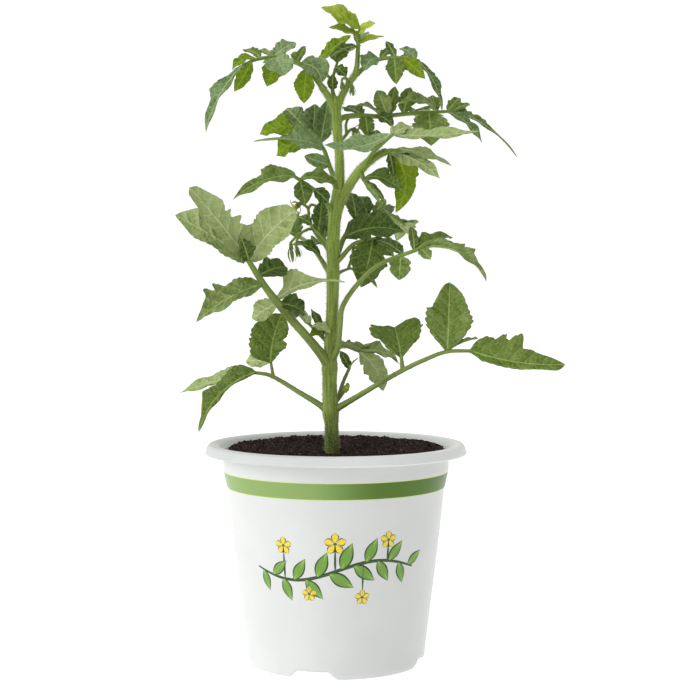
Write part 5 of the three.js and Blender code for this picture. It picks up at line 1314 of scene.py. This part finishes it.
# %% Drawn edges
EDGES = {
    "leaf_large_left": {
        0: ([(0, .1), (.05, .55), (.12, .9), (.2, 1.08), (.235, 1.02), (.3, .8), (.325, .8),
             (.355, 1.1), (.39, 1.02), (.435, .68), (.46, .76), (.505, .9), (.54, .64), (.64, .74),
             (.79, .6), (.92, .42), (.98, .25), (1, .08)],
            [(0, .1), (.1, .45), (.3, .7), (.5, .62), (.7, .5), (.85, .5), (.93, .42), (.98, .28),
             (1, .08)]),
        1: ([(0, .1), (.1, .5), (.3, .85), (.55, .9), (.75, .75), (.9, .45), (.97, .2), (1, .04)],
            [(0, .35), (.1, .5), (.3, .55), (.57, .62), (.8, .4), (.92, .2), (1, .04)]),
        2: ([(0, .1), (.04, .42), (.2, .72), (.45, .84), (.7, .8), (.88, .6), (.96, .42), (1, .2)],
            [(0, .1), (.08, .4), (.22, .8), (.26, .74), (.4, .97), (.58, .95), (.8, .75), (.94, .5),
             (1, .2)]),
        5: ([(0, .2), (.06, .6), (.13, .68), (.28, .7), (.4, .8), (.49, 1.2), (.52, 1.1), (.54, .8),
             (.58, .82), (.64, 1.05), (.67, .95), (.69, .64), (.8, .45), (.92, .24), (1, .04)],
            [(0, .1), (.1, .6), (.38, .95), (.6, .8), (.75, .5), (1, .04)]),
        6: ([(0, .15), (.1, .35), (.3, .4), (.5, .35), (.62, .2), (.75, .08), (1, .03)],
            [(0, .1), (.08, .3), (.14, .5), (.17, 1.25), (.2, 1.35), (.27, 1.3), (.33, 1.15),
             (.42, .7), (.55, .35), (.7, .18), (1, .03)])},
    "leaf_lowest_left": {
        0: ([(0, .4), (.05, .75), (.1, .85), (.3, .78), (.5, .68), (.58, .72), (.64, .55), (.7, .48),
             (.82, .26), (1, .04)],
            [(0, .1), (.1, .25), (.3, .35), (.45, .25), (.6, .36), (.84, .3), (1, .04)]),
        2: ([(0, .1), (.1, .28), (.28, .55), (.42, .72), (.46, .68), (.5, .5), (.6, .62), (.75, .6),
             (.87, .45), (.95, .25), (1, .05)],
            [(0, .2), (.04, .75), (.15, 1), (.4, 1.12), (.58, 1.1), (.75, .88), (.9, .5), (.97, .25),
             (1, .05)])},
    "leaf_lowest_right": {
        0: ([(0, .12), (.12, .45), (.35, .85), (.6, 1.05), (.66, .98), (.84, 1), (.95, .8), (1, .5)],
            [(0, .12), (.12, .5), (.35, .9), (.62, 1.08), (.68, .98), (.85, 1), (.95, .75), (1, .5)]),
        1: ([(0, .08), (.06, .32), (.16, .68), (.3, .92), (.42, 1), (.46, .94), (.6, .78), (.8, .5),
             (.93, .27), (1, .06)],
            [(0, .08), (.06, .32), (.16, .7), (.32, .96), (.5, 1), (.53, .94), (.545, .78), (.7, .58),
             (.85, .38), (.95, .2), (1, .06)]),
        3: ([(0, .08), (.07, .15), (.14, .3), (.3, .37), (.5, .31), (.72, .29), (.9, .27),
             (.97, .15), (1, .04)],
            [(0, .45), (.02, .6), (.12, .8), (.16, .8), (.27, 1.1), (.3, .84), (.45, 1.06), (.5, 1),
             (.53, .54), (.6, .6), (.74, .44), (.9, .2), (1, .03)])},
    "leaf_left_arching": {
        0: ([(0, .35), (.06, .6), (.2, .75), (.4, .66), (.44, .66), (.48, .42), (.6, .42), (.68, .34),
             (.84, .2), (1, .04)],
            [(0, .2), (.1, .6), (.27, .95), (.5, .9), (.75, .55), (.9, .25), (1, .04)])},
    "leaf_left_upper": {
        1: ([(0, .5), (.08, .8), (.2, 1), (.35, .95), (.42, .7), (.48, .3), (.6, .15), (1, .03)],
            [(0, .3), (.1, .6), (.3, .65), (.42, .45), (.5, .2), (.65, .12), (1, .03)])},
    "leaf_right_long": {
        0: ([(0, .1), (.2, .3), (.38, .6), (.55, .6), (.75, .5), (.9, .2), (1, .03)],
            [(0, .3), (.1, .9), (.25, .95), (.38, 1.05), (.44, 1.1), (.47, .7), (.55, .85), (.6, 1),
             (.63, .66), (.75, .6), (.88, .42), (1, .03)])},
    "leaf_right_fan": {
        2: ([(0, .05), (.1, .3), (.3, .6), (.5, .75), (.7, .65), (.85, .35), (1, .03)],
            [(0, .1), (.1, .55), (.2, .85), (.36, .98), (.4, .9), (.43, .72), (.57, .7), (.6, .64),
             (.75, .45), (.88, .25), (1, .03)])},
    "leaf_right_upper": {
        8: ([(0, .15), (.1, .3), (.35, .34), (.6, .16), (.8, .1), (1, .03)],
            [(0, .2), (.05, .5), (.09, .62), (.12, .5), (.17, .66), (.2, .54), (.25, .68), (.28, .62),
             (.33, .42), (.38, .42), (.42, .26), (.6, .16), (.8, .12), (1, .03)])},
    "leaf_top_right": {
        6: ([(0, .1), (.15, .45), (.4, .68), (.46, .56), (.6, .62), (.8, .36), (1, .03)],
            [(0, .1), (.15, .45), (.35, .7), (.4, .58), (.6, .66), (.66, .5), (.8, .36), (1, .03)])},
    "leaf_top_left": {
        0: ([(0, .1), (.1, .3), (.25, .5), (.42, .78), (.48, .9), (.53, .78), (.6, .66), (.8, .36),
             (.93, .15), (1, .03)],
            [(0, .1), (.15, .25), (.35, .5), (.6, .5), (.8, .25), (1, .03)]),
        4: ([(0, .5), (.15, .95), (.4, .95), (.6, .8), (.8, .6), (.95, .3), (1, .1)],
            [(0, .3), (.2, .7), (.5, .85), (.75, .7), (.92, .4), (1, .1)])},
}
print(sum(len(blades) for blades in EDGES.values()), "blades have drawn edges")

# %% A curve through the pairs
def drawn_edge(pairs, share):
    """The drawn share of the half-width, by a cubic between two pairs. Its slope at a
    pair is the harmonic mean of the two slopes beside it, and none where it turns."""
    at, reached = np.array(pairs).T
    slope = np.diff(reached) / np.diff(at)
    before, after = slope[:-1], slope[1:]
    same_way = before * after > 0
    mean = 2 * before * after / np.where(same_way, before + after, 1)
    slopes = np.concatenate([slope[:1], np.where(same_way, mean, 0), slope[-1:]])
    n = np.clip(np.searchsorted(at, share) - 1, 0, len(at) - 2)
    gap = at[n + 1] - at[n]
    f = (share - at[n]) / gap
    bow = (slopes[n] * gap * (1 - f) - slopes[n + 1] * gap * f) * f * (1 - f)
    ease = f * f * (3 - 2 * f)
    return reached[n] + (reached[n + 1] - reached[n]) * ease + bow


# %% [markdown]
# The half-width at share s is the oval's or the drawn edge's, times the teeth's
# share. The left edge and the right one differ, so near the midrib one goes over
# into the other. The blade has a narrow neck at its foot and a round tip.

# %% Half-widths
NECK = 0.07
NARROWEST = 0.012
ROUND_TIP = 0.035


def half_widths(share, t, wide, kind, teeth, drawn, rng):
    """How far the edge lies from the midrib, for each row's share and column's side t."""
    low, high = OVALS[kind]
    widest = low / (low + high)
    oval = (share / widest) ** low * ((1 - share) / (1 - widest)) ** high
    count = TOOTH_COUNT[kind] * rng.uniform(0.9, 1.15)
    right = tooth_edge(share, count, rng.uniform(-0.1, 0.25), teeth[0])
    left = tooth_edge(share, count * rng.uniform(0.92, 1.08), rng.uniform(-0.1, 0.3), teeth[1])
    fine = tooth_edge(share, count * 2.7, rng.uniform(0, 1), FINE_TEETH)
    right = right * fine * (oval if drawn is None else drawn_edge(drawn[0], share))
    left = left * fine * (oval if drawn is None else drawn_edge(drawn[1], share))
    mix = np.clip(0.5 + 2.5 * t, 0, 1)
    edge = left[:, None] * mix + right[:, None] * (1 - mix)
    reach = wide / 2 * np.maximum(edge, NECK * (1 - share)[:, None] ** 0.5 + NARROWEST)
    return reach * np.sqrt(np.clip((1 - share) / ROUND_TIP, 0.02, 1))[:, None]


# %% [markdown]
# The sheet itself: at share s along and t across, from one edge at 1 to the
# other at -1, the point is the midrib's point, plus the half-width to the side,
# plus some way forward, plus a lift by the fold. The puffs between veins, a
# wave along the edge and the veins' own thickness are added along the face.
# The columns cross the upper side and come back under it.

# %% One blade
BLADE_THICK = 0.34
CELL = 0.42
ROWS, HALF_COLUMNS = (22, 112), (8, 34)
USUAL_WIDTH = 16
VEIN_SLOPE = 0.75
PUFF_HEIGHT = 0.85
WAVE_HEIGHT = 1.2
MIDRIB_THICK = 0.42
UNDERSIDE_FROM = 1.4


def blade(start, tip, wide, face, arch, bend, cup, tone, teeth, drawn, rng):
    """A closed thin sheet, with its marks for the leaf material. A side vein runs where
    rib, which grows along the blade and falls outwards, is a whole number."""
    length = float(np.linalg.norm(tip - start))
    kind = "long" if length >= LONG else "middle" if length >= MIDDLE else "short"
    rows = int(np.clip(length / CELL, *ROWS))
    half = int(np.clip(wide / CELL, *HALF_COLUMNS))
    share = np.linspace(0, 1, rows)
    curve, along, side, normal = midrib(start, tip, face, arch, bend, share)
    even = np.linspace(1, -1, 2 * half + 1)
    over = 0.65 * even + 0.35 * np.sin(even * np.pi / 2)
    t = np.concatenate([over, over[-2:0:-1]])[None, :]
    upper = np.concatenate([np.ones(2 * half + 1), np.zeros(2 * half - 1)])[None, :]
    reach = half_widths(share, t, wide, kind, teeth, drawn, rng)
    across = reach * t
    distance = np.abs(across)
    s = share[:, None]
    veins = VEIN_COUNT[kind]
    offset = 0.25 * np.tanh(across / 0.5)
    rib = (veins * (s + ((1 - s) * TOOTH_LEAN - VEIN_SLOPE) * distance / length) + offset
           + rng.uniform(0, 1))
    gap = length / veins * 0.8
    underside = tone >= UNDERSIDE_FROM
    puff = np.abs(np.sin(np.pi * rib)) ** 0.8 * (1 - np.exp(-distance / 1.4)) * (1 - t ** 6)
    size = wide / USUAL_WIDTH
    puffed = PUFF_HEIGHT * size ** 0.7 * puff * np.clip(reach / 2, 0, 1)
    broad = np.clip(reach / (0.3 * wide), 0, 1)
    ripple = np.sin(2 * np.pi * (2.1 * s + 0.3 * np.sign(t) + rng.uniform(0, 1)))
    wave = WAVE_HEIGHT * size * broad * t ** 2 * ripple * np.minimum(1, 4 * s)
    fold = cup * reach * np.abs(t) ** 1.25
    thick = BLADE_THICK / 2 * np.sqrt(np.clip(1 - t ** 10, 0, 1)) * (1 - 0.5 * s)
    root = MIDRIB_THICK * np.clip(size, 0.4, 1.1) * (1 - s) ** 1.3 + 0.08
    ridge = root * np.exp(-(distance / (root + 0.25)) ** 2)
    line = np.exp(-((rib - np.round(rib)) * gap / 0.35) ** 2) * 0.1 * size * (1 - t ** 4)
    raised = np.where((upper > 0.5) == underside, ridge + line, 0.3 * ridge)
    skin_lift = np.where(upper > 0.5, 1, -1) * (thick + raised * np.where(np.abs(t) < 0.999, 1, 0))
    height = fold + (-puffed if underside else puffed) + wave + skin_lift
    forward = distance * TOOTH_LEAN * (1 - s)
    points = (curve[:, None] + side[:, None] * across[..., None]
              + along[:, None] * forward[..., None] + normal[:, None] * height[..., None])
    other = min(2.0, abs(tone) + 1.0) if not underside else 0.9
    return skin(points, across=across, share=s, rib=rib, gap=gap, rim=np.abs(t),
                run=s * length, tone=np.where(upper > 0.5, tone, other), seed=rng.uniform(0, 40))


# %% [markdown]
# ## Leaf finish
#
# A grown leaf is a deep green above, powdery with fine hairs, and a paler
# grey-green below. The pale flecks of the hairs are partly their own colour and
# partly painted glints. A thin or young one is yellow-green, and some at the top
# are bluish; the brightest yellow-green of the thin and young ones is painted
# light from behind. The blade's tone, shifted a little by noise, picks among
# these inks. Veins are paler than the sheet: a midrib that narrows to the tip,
# side veins, and a net of fine ones round small puffed cells. The rim is a
# grey-green line. Light also passes through a leaf and comes out yellow-green,
# which a translucent shader mixed into the ordinary one gives.

# %% Leaf inks and lines
DARK_LEAF, MIDDLE_LEAF = ink(66, 90, 35), ink(110, 133, 50)
# The bright yellow-green inks of thin and young leaves carry painted light from behind.
PALE_LEAF, THIN_LEAF_PAINTED_BACKLIGHT = ink(184, 203, 132), ink(142, 170, 28)
BLUISH_LEAF, YOUNG_LEAF_AND_PAINTED_BACKLIGHT = ink(157, 186, 124), ink(224, 240, 96)
# The hairs' pale ink is partly their own colour and partly painted glints.
LEAF_HAIRS_AND_GLINTS, LEAF_RIM = ink(182, 198, 150), ink(136, 148, 100)
VEIN, PALE_VEIN = ink(168, 188, 106), ink(218, 228, 176)
VEIN_PAINTED_BACKLIGHT, BLUISH_VEIN = ink(186, 206, 70), ink(190, 207, 160)


def sheet_colour(bench, tone):
    """The leaf's colour, passing from ink to ink as the tone rises or falls; the inks of
    thin and young leaves carry painted backlight.
    """
    colour = bench.mix(bench.step(tone, 0.0, 1.0), DARK_LEAF, MIDDLE_LEAF)
    colour = bench.mix(bench.step(tone, -1.2, -0.1, 1.0, 0.0), colour, BLUISH_LEAF)
    colour = bench.mix(bench.step(tone, 1.1, 1.9), colour, PALE_LEAF)
    # Painted backlight: a thin leaf's bright yellow-green stands for light coming through it.
    colour = bench.mix(bench.step(tone, 2.2, 2.7), colour, THIN_LEAF_PAINTED_BACKLIGHT)
    # Painted backlight: a very young leaf is painted brighter still, as if lit from behind.
    return bench.mix(bench.step(tone, 3.1, 3.9), colour, YOUNG_LEAF_AND_PAINTED_BACKLIGHT)


def vein_colour(bench, tone):
    """The veins' colour, in the same way."""
    colour = bench.mix(bench.step(tone, 1.1, 1.9), VEIN, PALE_VEIN)
    # Painted backlight on the veins of thin leaves.
    colour = bench.mix(bench.step(tone, 2.2, 2.7), colour, VEIN_PAINTED_BACKLIGHT)
    return bench.mix(bench.step(tone, -0.9, -0.1, 1.0, 0.0), colour, BLUISH_VEIN)


def vein_lines(bench, across, share, rib, gap, rim, tone):
    """1 on the midrib, which narrows along the leaf, and less on the side veins, which
    lie where rib is a whole number."""
    away = bench.math("ABSOLUTE", across)
    midrib_width = bench.math("MULTIPLY_ADD", share, -0.28, 0.32)
    main_line = bench.step(bench.math("SUBTRACT", away, midrib_width), 0.0, 0.2, 1.0, 0.0)
    from_vein = bench.math("ABSOLUTE", bench.math("SUBTRACT", rib, bench.math("ROUND", rib)))
    from_vein = bench.math("MULTIPLY", from_vein, gap)
    vein_width = bench.math("MULTIPLY_ADD", rim, -0.14, 0.15)
    side_line = bench.step(bench.math("SUBTRACT", from_vein, vein_width), 0.0, 0.22, 0.72, 0.0)
    side_line = bench.math("MULTIPLY", side_line, bench.step(tone, 1.2, 1.9, 0.6, 1.0))
    return bench.math("MAXIMUM", main_line, side_line)


# %% Leaf material
def leaf_material():
    """The sheet's colour with powder, partly painted glints, and shade by noise, then
    the veins and the net, mixed with a shader that lets light through."""
    bench = Bench("tomato leaf")
    across, share, rib, gap = (bench.mark(m) for m in ("across", "share", "rib", "gap"))
    rim, run, tone, seed = (bench.mark(m) for m in ("rim", "run", "tone", "seed"))
    sheet = bench.add("CombineXYZ", {0: run, 1: across, 2: seed})
    cloud = bench.noise(sheet, 0.2, 3.0)
    tone = bench.math("ADD", tone, bench.math("MULTIPLY_ADD", cloud, 1.1, -0.55))
    colour = sheet_colour(bench, tone)
    cells = bench.add("TexVoronoi", {"Vector": sheet, "Scale": 0.42}, feature="DISTANCE_TO_EDGE")
    net = bench.step(cells, 0.0, 0.16, 0.16, 0.0)
    lines = bench.math("MAXIMUM", vein_lines(bench, across, share, rib, gap, rim, tone), net)
    powder = bench.noise(sheet, 1.1, 3.0, 0.7)
    # Pale flecks of the hairs, partly painted glints where the hairs catch the light.
    colour = bench.mix(bench.step(powder, 0.5, 0.7, 0.0, 0.34), colour, LEAF_HAIRS_AND_GLINTS)
    shaded = bench.math("MULTIPLY", bench.step(powder, 0.34, 0.5, 0.36, 0.0),
                        bench.step(tone, 1.1, 1.9, 1.0, 0.4))
    shaded = bench.math("MULTIPLY", shaded, bench.step(tone, -0.6, 0.0, 1.6, 1.0))
    colour = bench.mix(shaded, colour, DARK_LEAF)
    colour = bench.mix(lines, colour, vein_colour(bench, tone))
    colour = bench.mix(bench.step(rim, 0.93, 1.0, 0.0, 0.6), colour, LEAF_RIM)
    gloss = bench.math("MULTIPLY_ADD", powder, 0.25, 0.4)
    puffs = bench.relief(bench.step(cells, 0.0, 0.5), 0.4)
    bump = bench.relief(powder, 0.16, puffs)
    surface = bench.add("BsdfPrincipled", {
        "Base Color": colour, "Roughness": gloss, "Normal": bump, "Specular IOR Level": 0.2,
        "Sheen Weight": 0.05, "Sheen Roughness": 0.5, "Sheen Tint": ink(215, 230, 180)})
    through = bench.mix(bench.step(tone, 1.8, 2.8), ink(150, 178, 70), ink(196, 222, 40))
    through = bench.mix(bench.step(tone, 3.1, 3.9), through, ink(236, 246, 110))
    through = bench.mix(lines, through, ink(196, 214, 110))
    glow = bench.add("BsdfTranslucent", {"Color": through, "Normal": bump})
    passed = bench.math("SUBTRACT", bench.step(tone, 1.8, 2.9, 0.25, 0.5),
                        bench.step(tone, 3.1, 3.9, 0.0, 0.3))
    return bench.close(bench.add("MixShader", {0: passed, 1: surface, 2: glow}))


LEAF = leaf_material()
print("leaf finish:", len(LEAF.node_tree.nodes), "nodes")

# %% [markdown]
# Each leaf is one piece: its stalks, their hairs, and its blades.

# %% Leaves and shoots
STALK_SIDES = 14
STALK_STEPS = 10
STALK_RIBS = 0.05
STALK_HAIRS = (9, 0.75)
STALK_SWELL, STALK_SWELL_LENGTH = 0.3, 2.0
STALK_FINISH, HAIR_FINISH = 1, 2


def stalk_parts(stalks, rng, density, length):
    """Tubes with their hairs. A stalk is a third thicker where it leaves its stem."""
    parts = []
    for stalk in stalks:
        curve, thick = smooth_route(placed(stalk["route"]), stalk["thick"], STALK_STEPS)
        start = np.linalg.norm(curve - curve[0], axis=1)
        radius = thick / 2 * (1 + STALK_SWELL * np.exp(-start / STALK_SWELL_LENGTH))
        parts.append(tube(curve, radius, STALK_SIDES, STALK_RIBS, finish=STALK_FINISH))
        parts.append(hairs(curve, radius, density, length, rng, HAIR_FINISH))
    return parts


def leaf_parts(leaf, rng):
    """A leaf's stalks with their hairs, then its blades with their teeth or drawn edges."""
    parts = stalk_parts(leaf["stalks"], rng, *STALK_HAIRS)
    by_hand, drawn = TEETH.get(leaf["name"], {}), EDGES.get(leaf["name"], {})
    for number, one in enumerate(leaf["blades"]):
        start, tip = placed([one["at"], one["tip"]])
        teeth = by_hand.get(number, tuple(rng.uniform(*USUAL_TEETH, 2)))
        if number in drawn:
            teeth = (SMALL_TEETH, SMALL_TEETH)
        parts.append(blade(start, tip, one["wide"], one["face"], one.get("arch", 0),
                           one.get("bend", 0), one.get("cup", CUP), one["tone"], teeth,
                           drawn.get(number), rng))
    return parts


for number, leaf in enumerate(LEAVES):
    rng = np.random.default_rng(100 + number)
    piece(leaf["name"] + "_blades", leaf_parts(leaf, rng), [LEAF, STALK_SKIN, FINE_HAIR],
          leaf["name"])

# %% [markdown]
# ## Flowers
#
# The flowers are small and yellow, with five narrow petals that bend back
# round a cone of anthers, held by five thin green sepals. Closed buds are green
# drops that show a little yellow, with the sepals folded forward. They hang on
# thin hairy stalks.

# %% Flower finish
def flower_material():
    """Green by noise where the mark petal is 0. Where it is 1, a yellow that grows
    paler towards the petal's tip."""
    bench = Bench("tomato flower")
    petal, run = bench.mark("petal"), bench.mark("run")
    place = bench.place()
    fine = bench.noise(place, 1.6, 3.0)
    green = bench.mix(fine, ink(84, 112, 44), ink(140, 164, 86))
    yellow = bench.mix(bench.step(run, 0.0, 5.0), ink(176, 180, 74), ink(232, 222, 104))
    yellow = bench.mix(bench.step(fine, 0.5, 0.8, 0.0, 0.5), yellow, ink(206, 196, 70))
    colour = bench.mix(petal, green, yellow)
    surface = bench.add("BsdfPrincipled", {
        "Base Color": colour, "Roughness": bench.math("MULTIPLY_ADD", fine, 0.2, 0.4),
        "Normal": bench.relief(fine, 0.05), "Sheen Weight": 0.2, "Sheen Roughness": 0.5})
    glow = bench.add("BsdfTranslucent", {"Color": colour})
    return bench.close(bench.add("MixShader", {0: 0.3, 1: surface, 2: glow}))


FLOWER = flower_material()
print("flower finish:", len(FLOWER.node_tree.nodes), "nodes")

# %% Flower pieces
BUD_YELLOW = 0.35
OPEN_FROM = 3
SPRAY_HAIRS = (16, 0.8)
GREEN_DROP = [(0, 0.3), (0.25, 0.9), (0.5, 1), (0.8, 0.8), (1, 0.3)]
YELLOW_CONE = [(0, 0.7), (0.3, 1), (0.6, 0.75), (0.9, 0.35), (1, 0.1)]


def drop_shape(start, tip, wide, outline, petal, ribs=0.12, sides=20, rows=18):
    """A five-ribbed drop: circles round the line from start to tip, with radii read
    off between the outline's pairs of share and half-width."""
    share = np.linspace(0, 1, rows)
    radius = wide / 2 * np.interp(share, *np.array(outline).T)
    curve = start + share[:, None] * (tip - start)
    return tube(curve, radius, sides, ribs, domed=False, petal=petal)


def ribbon(start, tip, wide, face, arch, petal, rows=14, half=4):
    """A narrow pointed sheet, for a petal or a sepal. Its half-width is a sine of the
    share along it, and its edges lift by the square of the share across."""
    share = np.linspace(0, 1, rows)
    curve, _, side, normal = midrib(start, tip, face, arch, 0.0, share)
    even = np.linspace(1, -1, 2 * half + 1)
    t = np.concatenate([even, even[-2:0:-1]])[None, :]
    upper = np.where(np.arange(4 * half) <= 2 * half, 1, -1)[None, :]
    reach = wide / 2 * np.sin(np.pi * (0.12 + 0.86 * share[:, None]) ** 1.1)
    lift = upper * 0.09 * np.sqrt(np.clip(1 - t ** 4, 0, 1)) + 0.25 * reach * t ** 2
    length = np.linalg.norm(tip - start)
    points = (curve[:, None] + side[:, None] * (reach * t)[..., None]
              + normal[:, None] * lift[..., None])
    return skin(points, petal=petal, run=share[:, None] * length)


def flower_parts(bud, rng):
    """A bud or flower on the line from its foot to its tip. Wide ones are open."""
    foot, tip = placed([bud["at"], bud["tip"]])
    wide, length = bud["wide"], float(np.linalg.norm(tip - foot))
    axis = unit(tip - foot)
    side = unit(np.cross(axis, (0.3, 0.2, 1.0)))
    over = np.cross(axis, side)
    parts = [drop_shape(foot, foot + 0.45 * length * axis, 0.7 * wide, GREEN_DROP, 0.0)]
    opened = wide >= OPEN_FROM
    parts.append(drop_shape(foot + 0.3 * length * axis, tip, 0.62 * wide, YELLOW_CONE,
                            1.0 if opened else BUD_YELLOW))
    for number in range(PETALS):
        angle = 2 * math.pi * (number + rng.uniform(-0.12, 0.12)) / PETALS
        out = math.cos(angle) * side + math.sin(angle) * over
        spread = (0.9 if opened else 0.42) * wide * rng.uniform(0.85, 1.15)
        base = foot + 0.22 * length * axis + 0.22 * wide * out
        end = foot + (0.55 if opened else 0.95) * length * axis + spread * out
        parts.append(ribbon(base, end, 0.34 * wide, -out + 0.2 * axis, -0.12 * length, 0.0))
        if opened:
            turned_angle = angle + math.pi / PETALS
            away = math.cos(turned_angle) * side + math.sin(turned_angle) * over
            root = foot + 0.4 * length * axis + 0.2 * wide * away
            end = foot + 0.42 * length * axis + 1.15 * wide * away
            parts.append(ribbon(root, end, 0.46 * wide, axis, 0.16 * length, 1.0))
    return parts


for number, spray in enumerate(FLOWERS):
    rng = np.random.default_rng(300 + number)
    parts = stalk_parts(spray["stalks"], rng, *SPRAY_HAIRS)
    for bud in spray["buds"]:
        parts += flower_parts(bud, rng)
    piece(spray["name"] + "_spray", parts, [FLOWER, STALK_SKIN, FINE_HAIR],
          spray["name"])

# %% [markdown]
# ## The studio
#
# The plant stands on a plain white table in a white room. A very broad soft
# light on the left, a little in front, is the main one, and the pale room fills
# in the rest. It is brightest behind, as a lit backdrop is, so thin leaves glow
# and edges light up, and bright above. The main light is a sun lamp of a wide
# angle, because it lights a large table as evenly as its middle. The table is
# lit from below like a sheet of milky glass, so it melts into the background
# and keeps only a faint shadow.

# %% Table
TABLE_SHINE = 0.8
TABLE_RADIUS = 6000.0
TABLE_CORNERS = 64
TABLE_LEVEL = -0.05


def white_table():
    """Plain white that also shines a little by itself."""
    bench = Bench("white table")
    grain = bench.noise(bench.place(), 0.01, 2.0)
    white = bench.mix(grain, ink(160, 160, 160), ink(163, 163, 163))
    return bench.close(bench.add("BsdfPrincipled", {
        "Base Color": white, "Roughness": 0.8, "Emission Color": ink(255, 255, 255),
        "Emission Strength": TABLE_SHINE}))


table_turn = 2 * np.pi * np.arange(TABLE_CORNERS) / TABLE_CORNERS
table = bpy.data.meshes.new("table")
table_points = turned(np.array([(TABLE_RADIUS, TABLE_LEVEL)]), table_turn).reshape(-1, 3) * MM
table.from_pydata(table_points.tolist(), [], [tuple(range(TABLE_CORNERS))])
table.materials.append(white_table())
floor = bpy.data.objects.new("table", table)
bpy.context.scene.collection.objects.link(floor)
print("table:", TABLE_RADIUS / 1000, "m in radius")

# %% Sky
SKY = 0.4
SKY_BEHIND = 0.4
SKY_ABOVE = 0.4
BACKDROP = 1.05

sky = bpy.data.worlds.new("white room")
sky.use_nodes = True
tree = sky.node_tree


def rising(value, start, end, low, high):
    """A number that goes smoothly from low to high while the value goes from start to end."""
    ramp = tree.nodes.new("ShaderNodeMapRange")
    ramp.interpolation_type = "SMOOTHSTEP"
    tree.links.new(value, ramp.inputs["Value"])
    ramp.inputs["From Min"].default_value, ramp.inputs["From Max"].default_value = start, end
    ramp.inputs["To Min"].default_value, ramp.inputs["To Max"].default_value = low, high
    return ramp


def added(first, second):
    """The sum of two numbers."""
    total = tree.nodes.new("ShaderNodeMath")
    tree.links.new(first, total.inputs[0])
    tree.links.new(second, total.inputs[1])
    return total.outputs[0]


direction = tree.nodes.new("ShaderNodeSeparateXYZ")
tree.links.new(tree.nodes.new("ShaderNodeTexCoord").outputs["Object"], direction.inputs[0])
behind = rising(direction.outputs[1], -0.2, 0.7, SKY, SKY + SKY_BEHIND).outputs[0]
above = rising(direction.outputs[2], 0.2, 1.0, 0.0, SKY_ABOVE).outputs[0]
seen = tree.nodes.new("ShaderNodeLightPath").outputs["Is Camera Ray"]
strength = rising(seen, 0.0, 1.0, SKY, BACKDROP)
tree.links.new(added(behind, above), strength.inputs["To Min"])
backdrop = tree.nodes["Background"]
backdrop.inputs["Color"].default_value = (1, 1, 1, 1)
tree.links.new(strength.outputs["Result"], backdrop.inputs["Strength"])
bpy.context.scene.world = sky
print("sky:", len(tree.nodes), "nodes")

# %% Key light
KEY_STRENGTH = 1.7
KEY_FROM = (-0.86, -0.40, 0.32)
KEY_ANGLE = 60

sun = bpy.data.lights.new("key light", "SUN")
sun.energy = KEY_STRENGTH
sun.angle = math.radians(KEY_ANGLE)
key = bpy.data.objects.new("key light", sun)
across, back, up = KEY_FROM
key.rotation_euler = (math.atan2(math.hypot(across, back), up), 0, math.atan2(across, -back))
key.location = (-0.6, -0.5, 0.8)
bpy.context.scene.collection.objects.link(key)
lamp_axis = key.rotation_euler.to_matrix() @ Vector((0, 0, 1))
print("key light comes from", [round(v, 2) for v in lamp_axis])
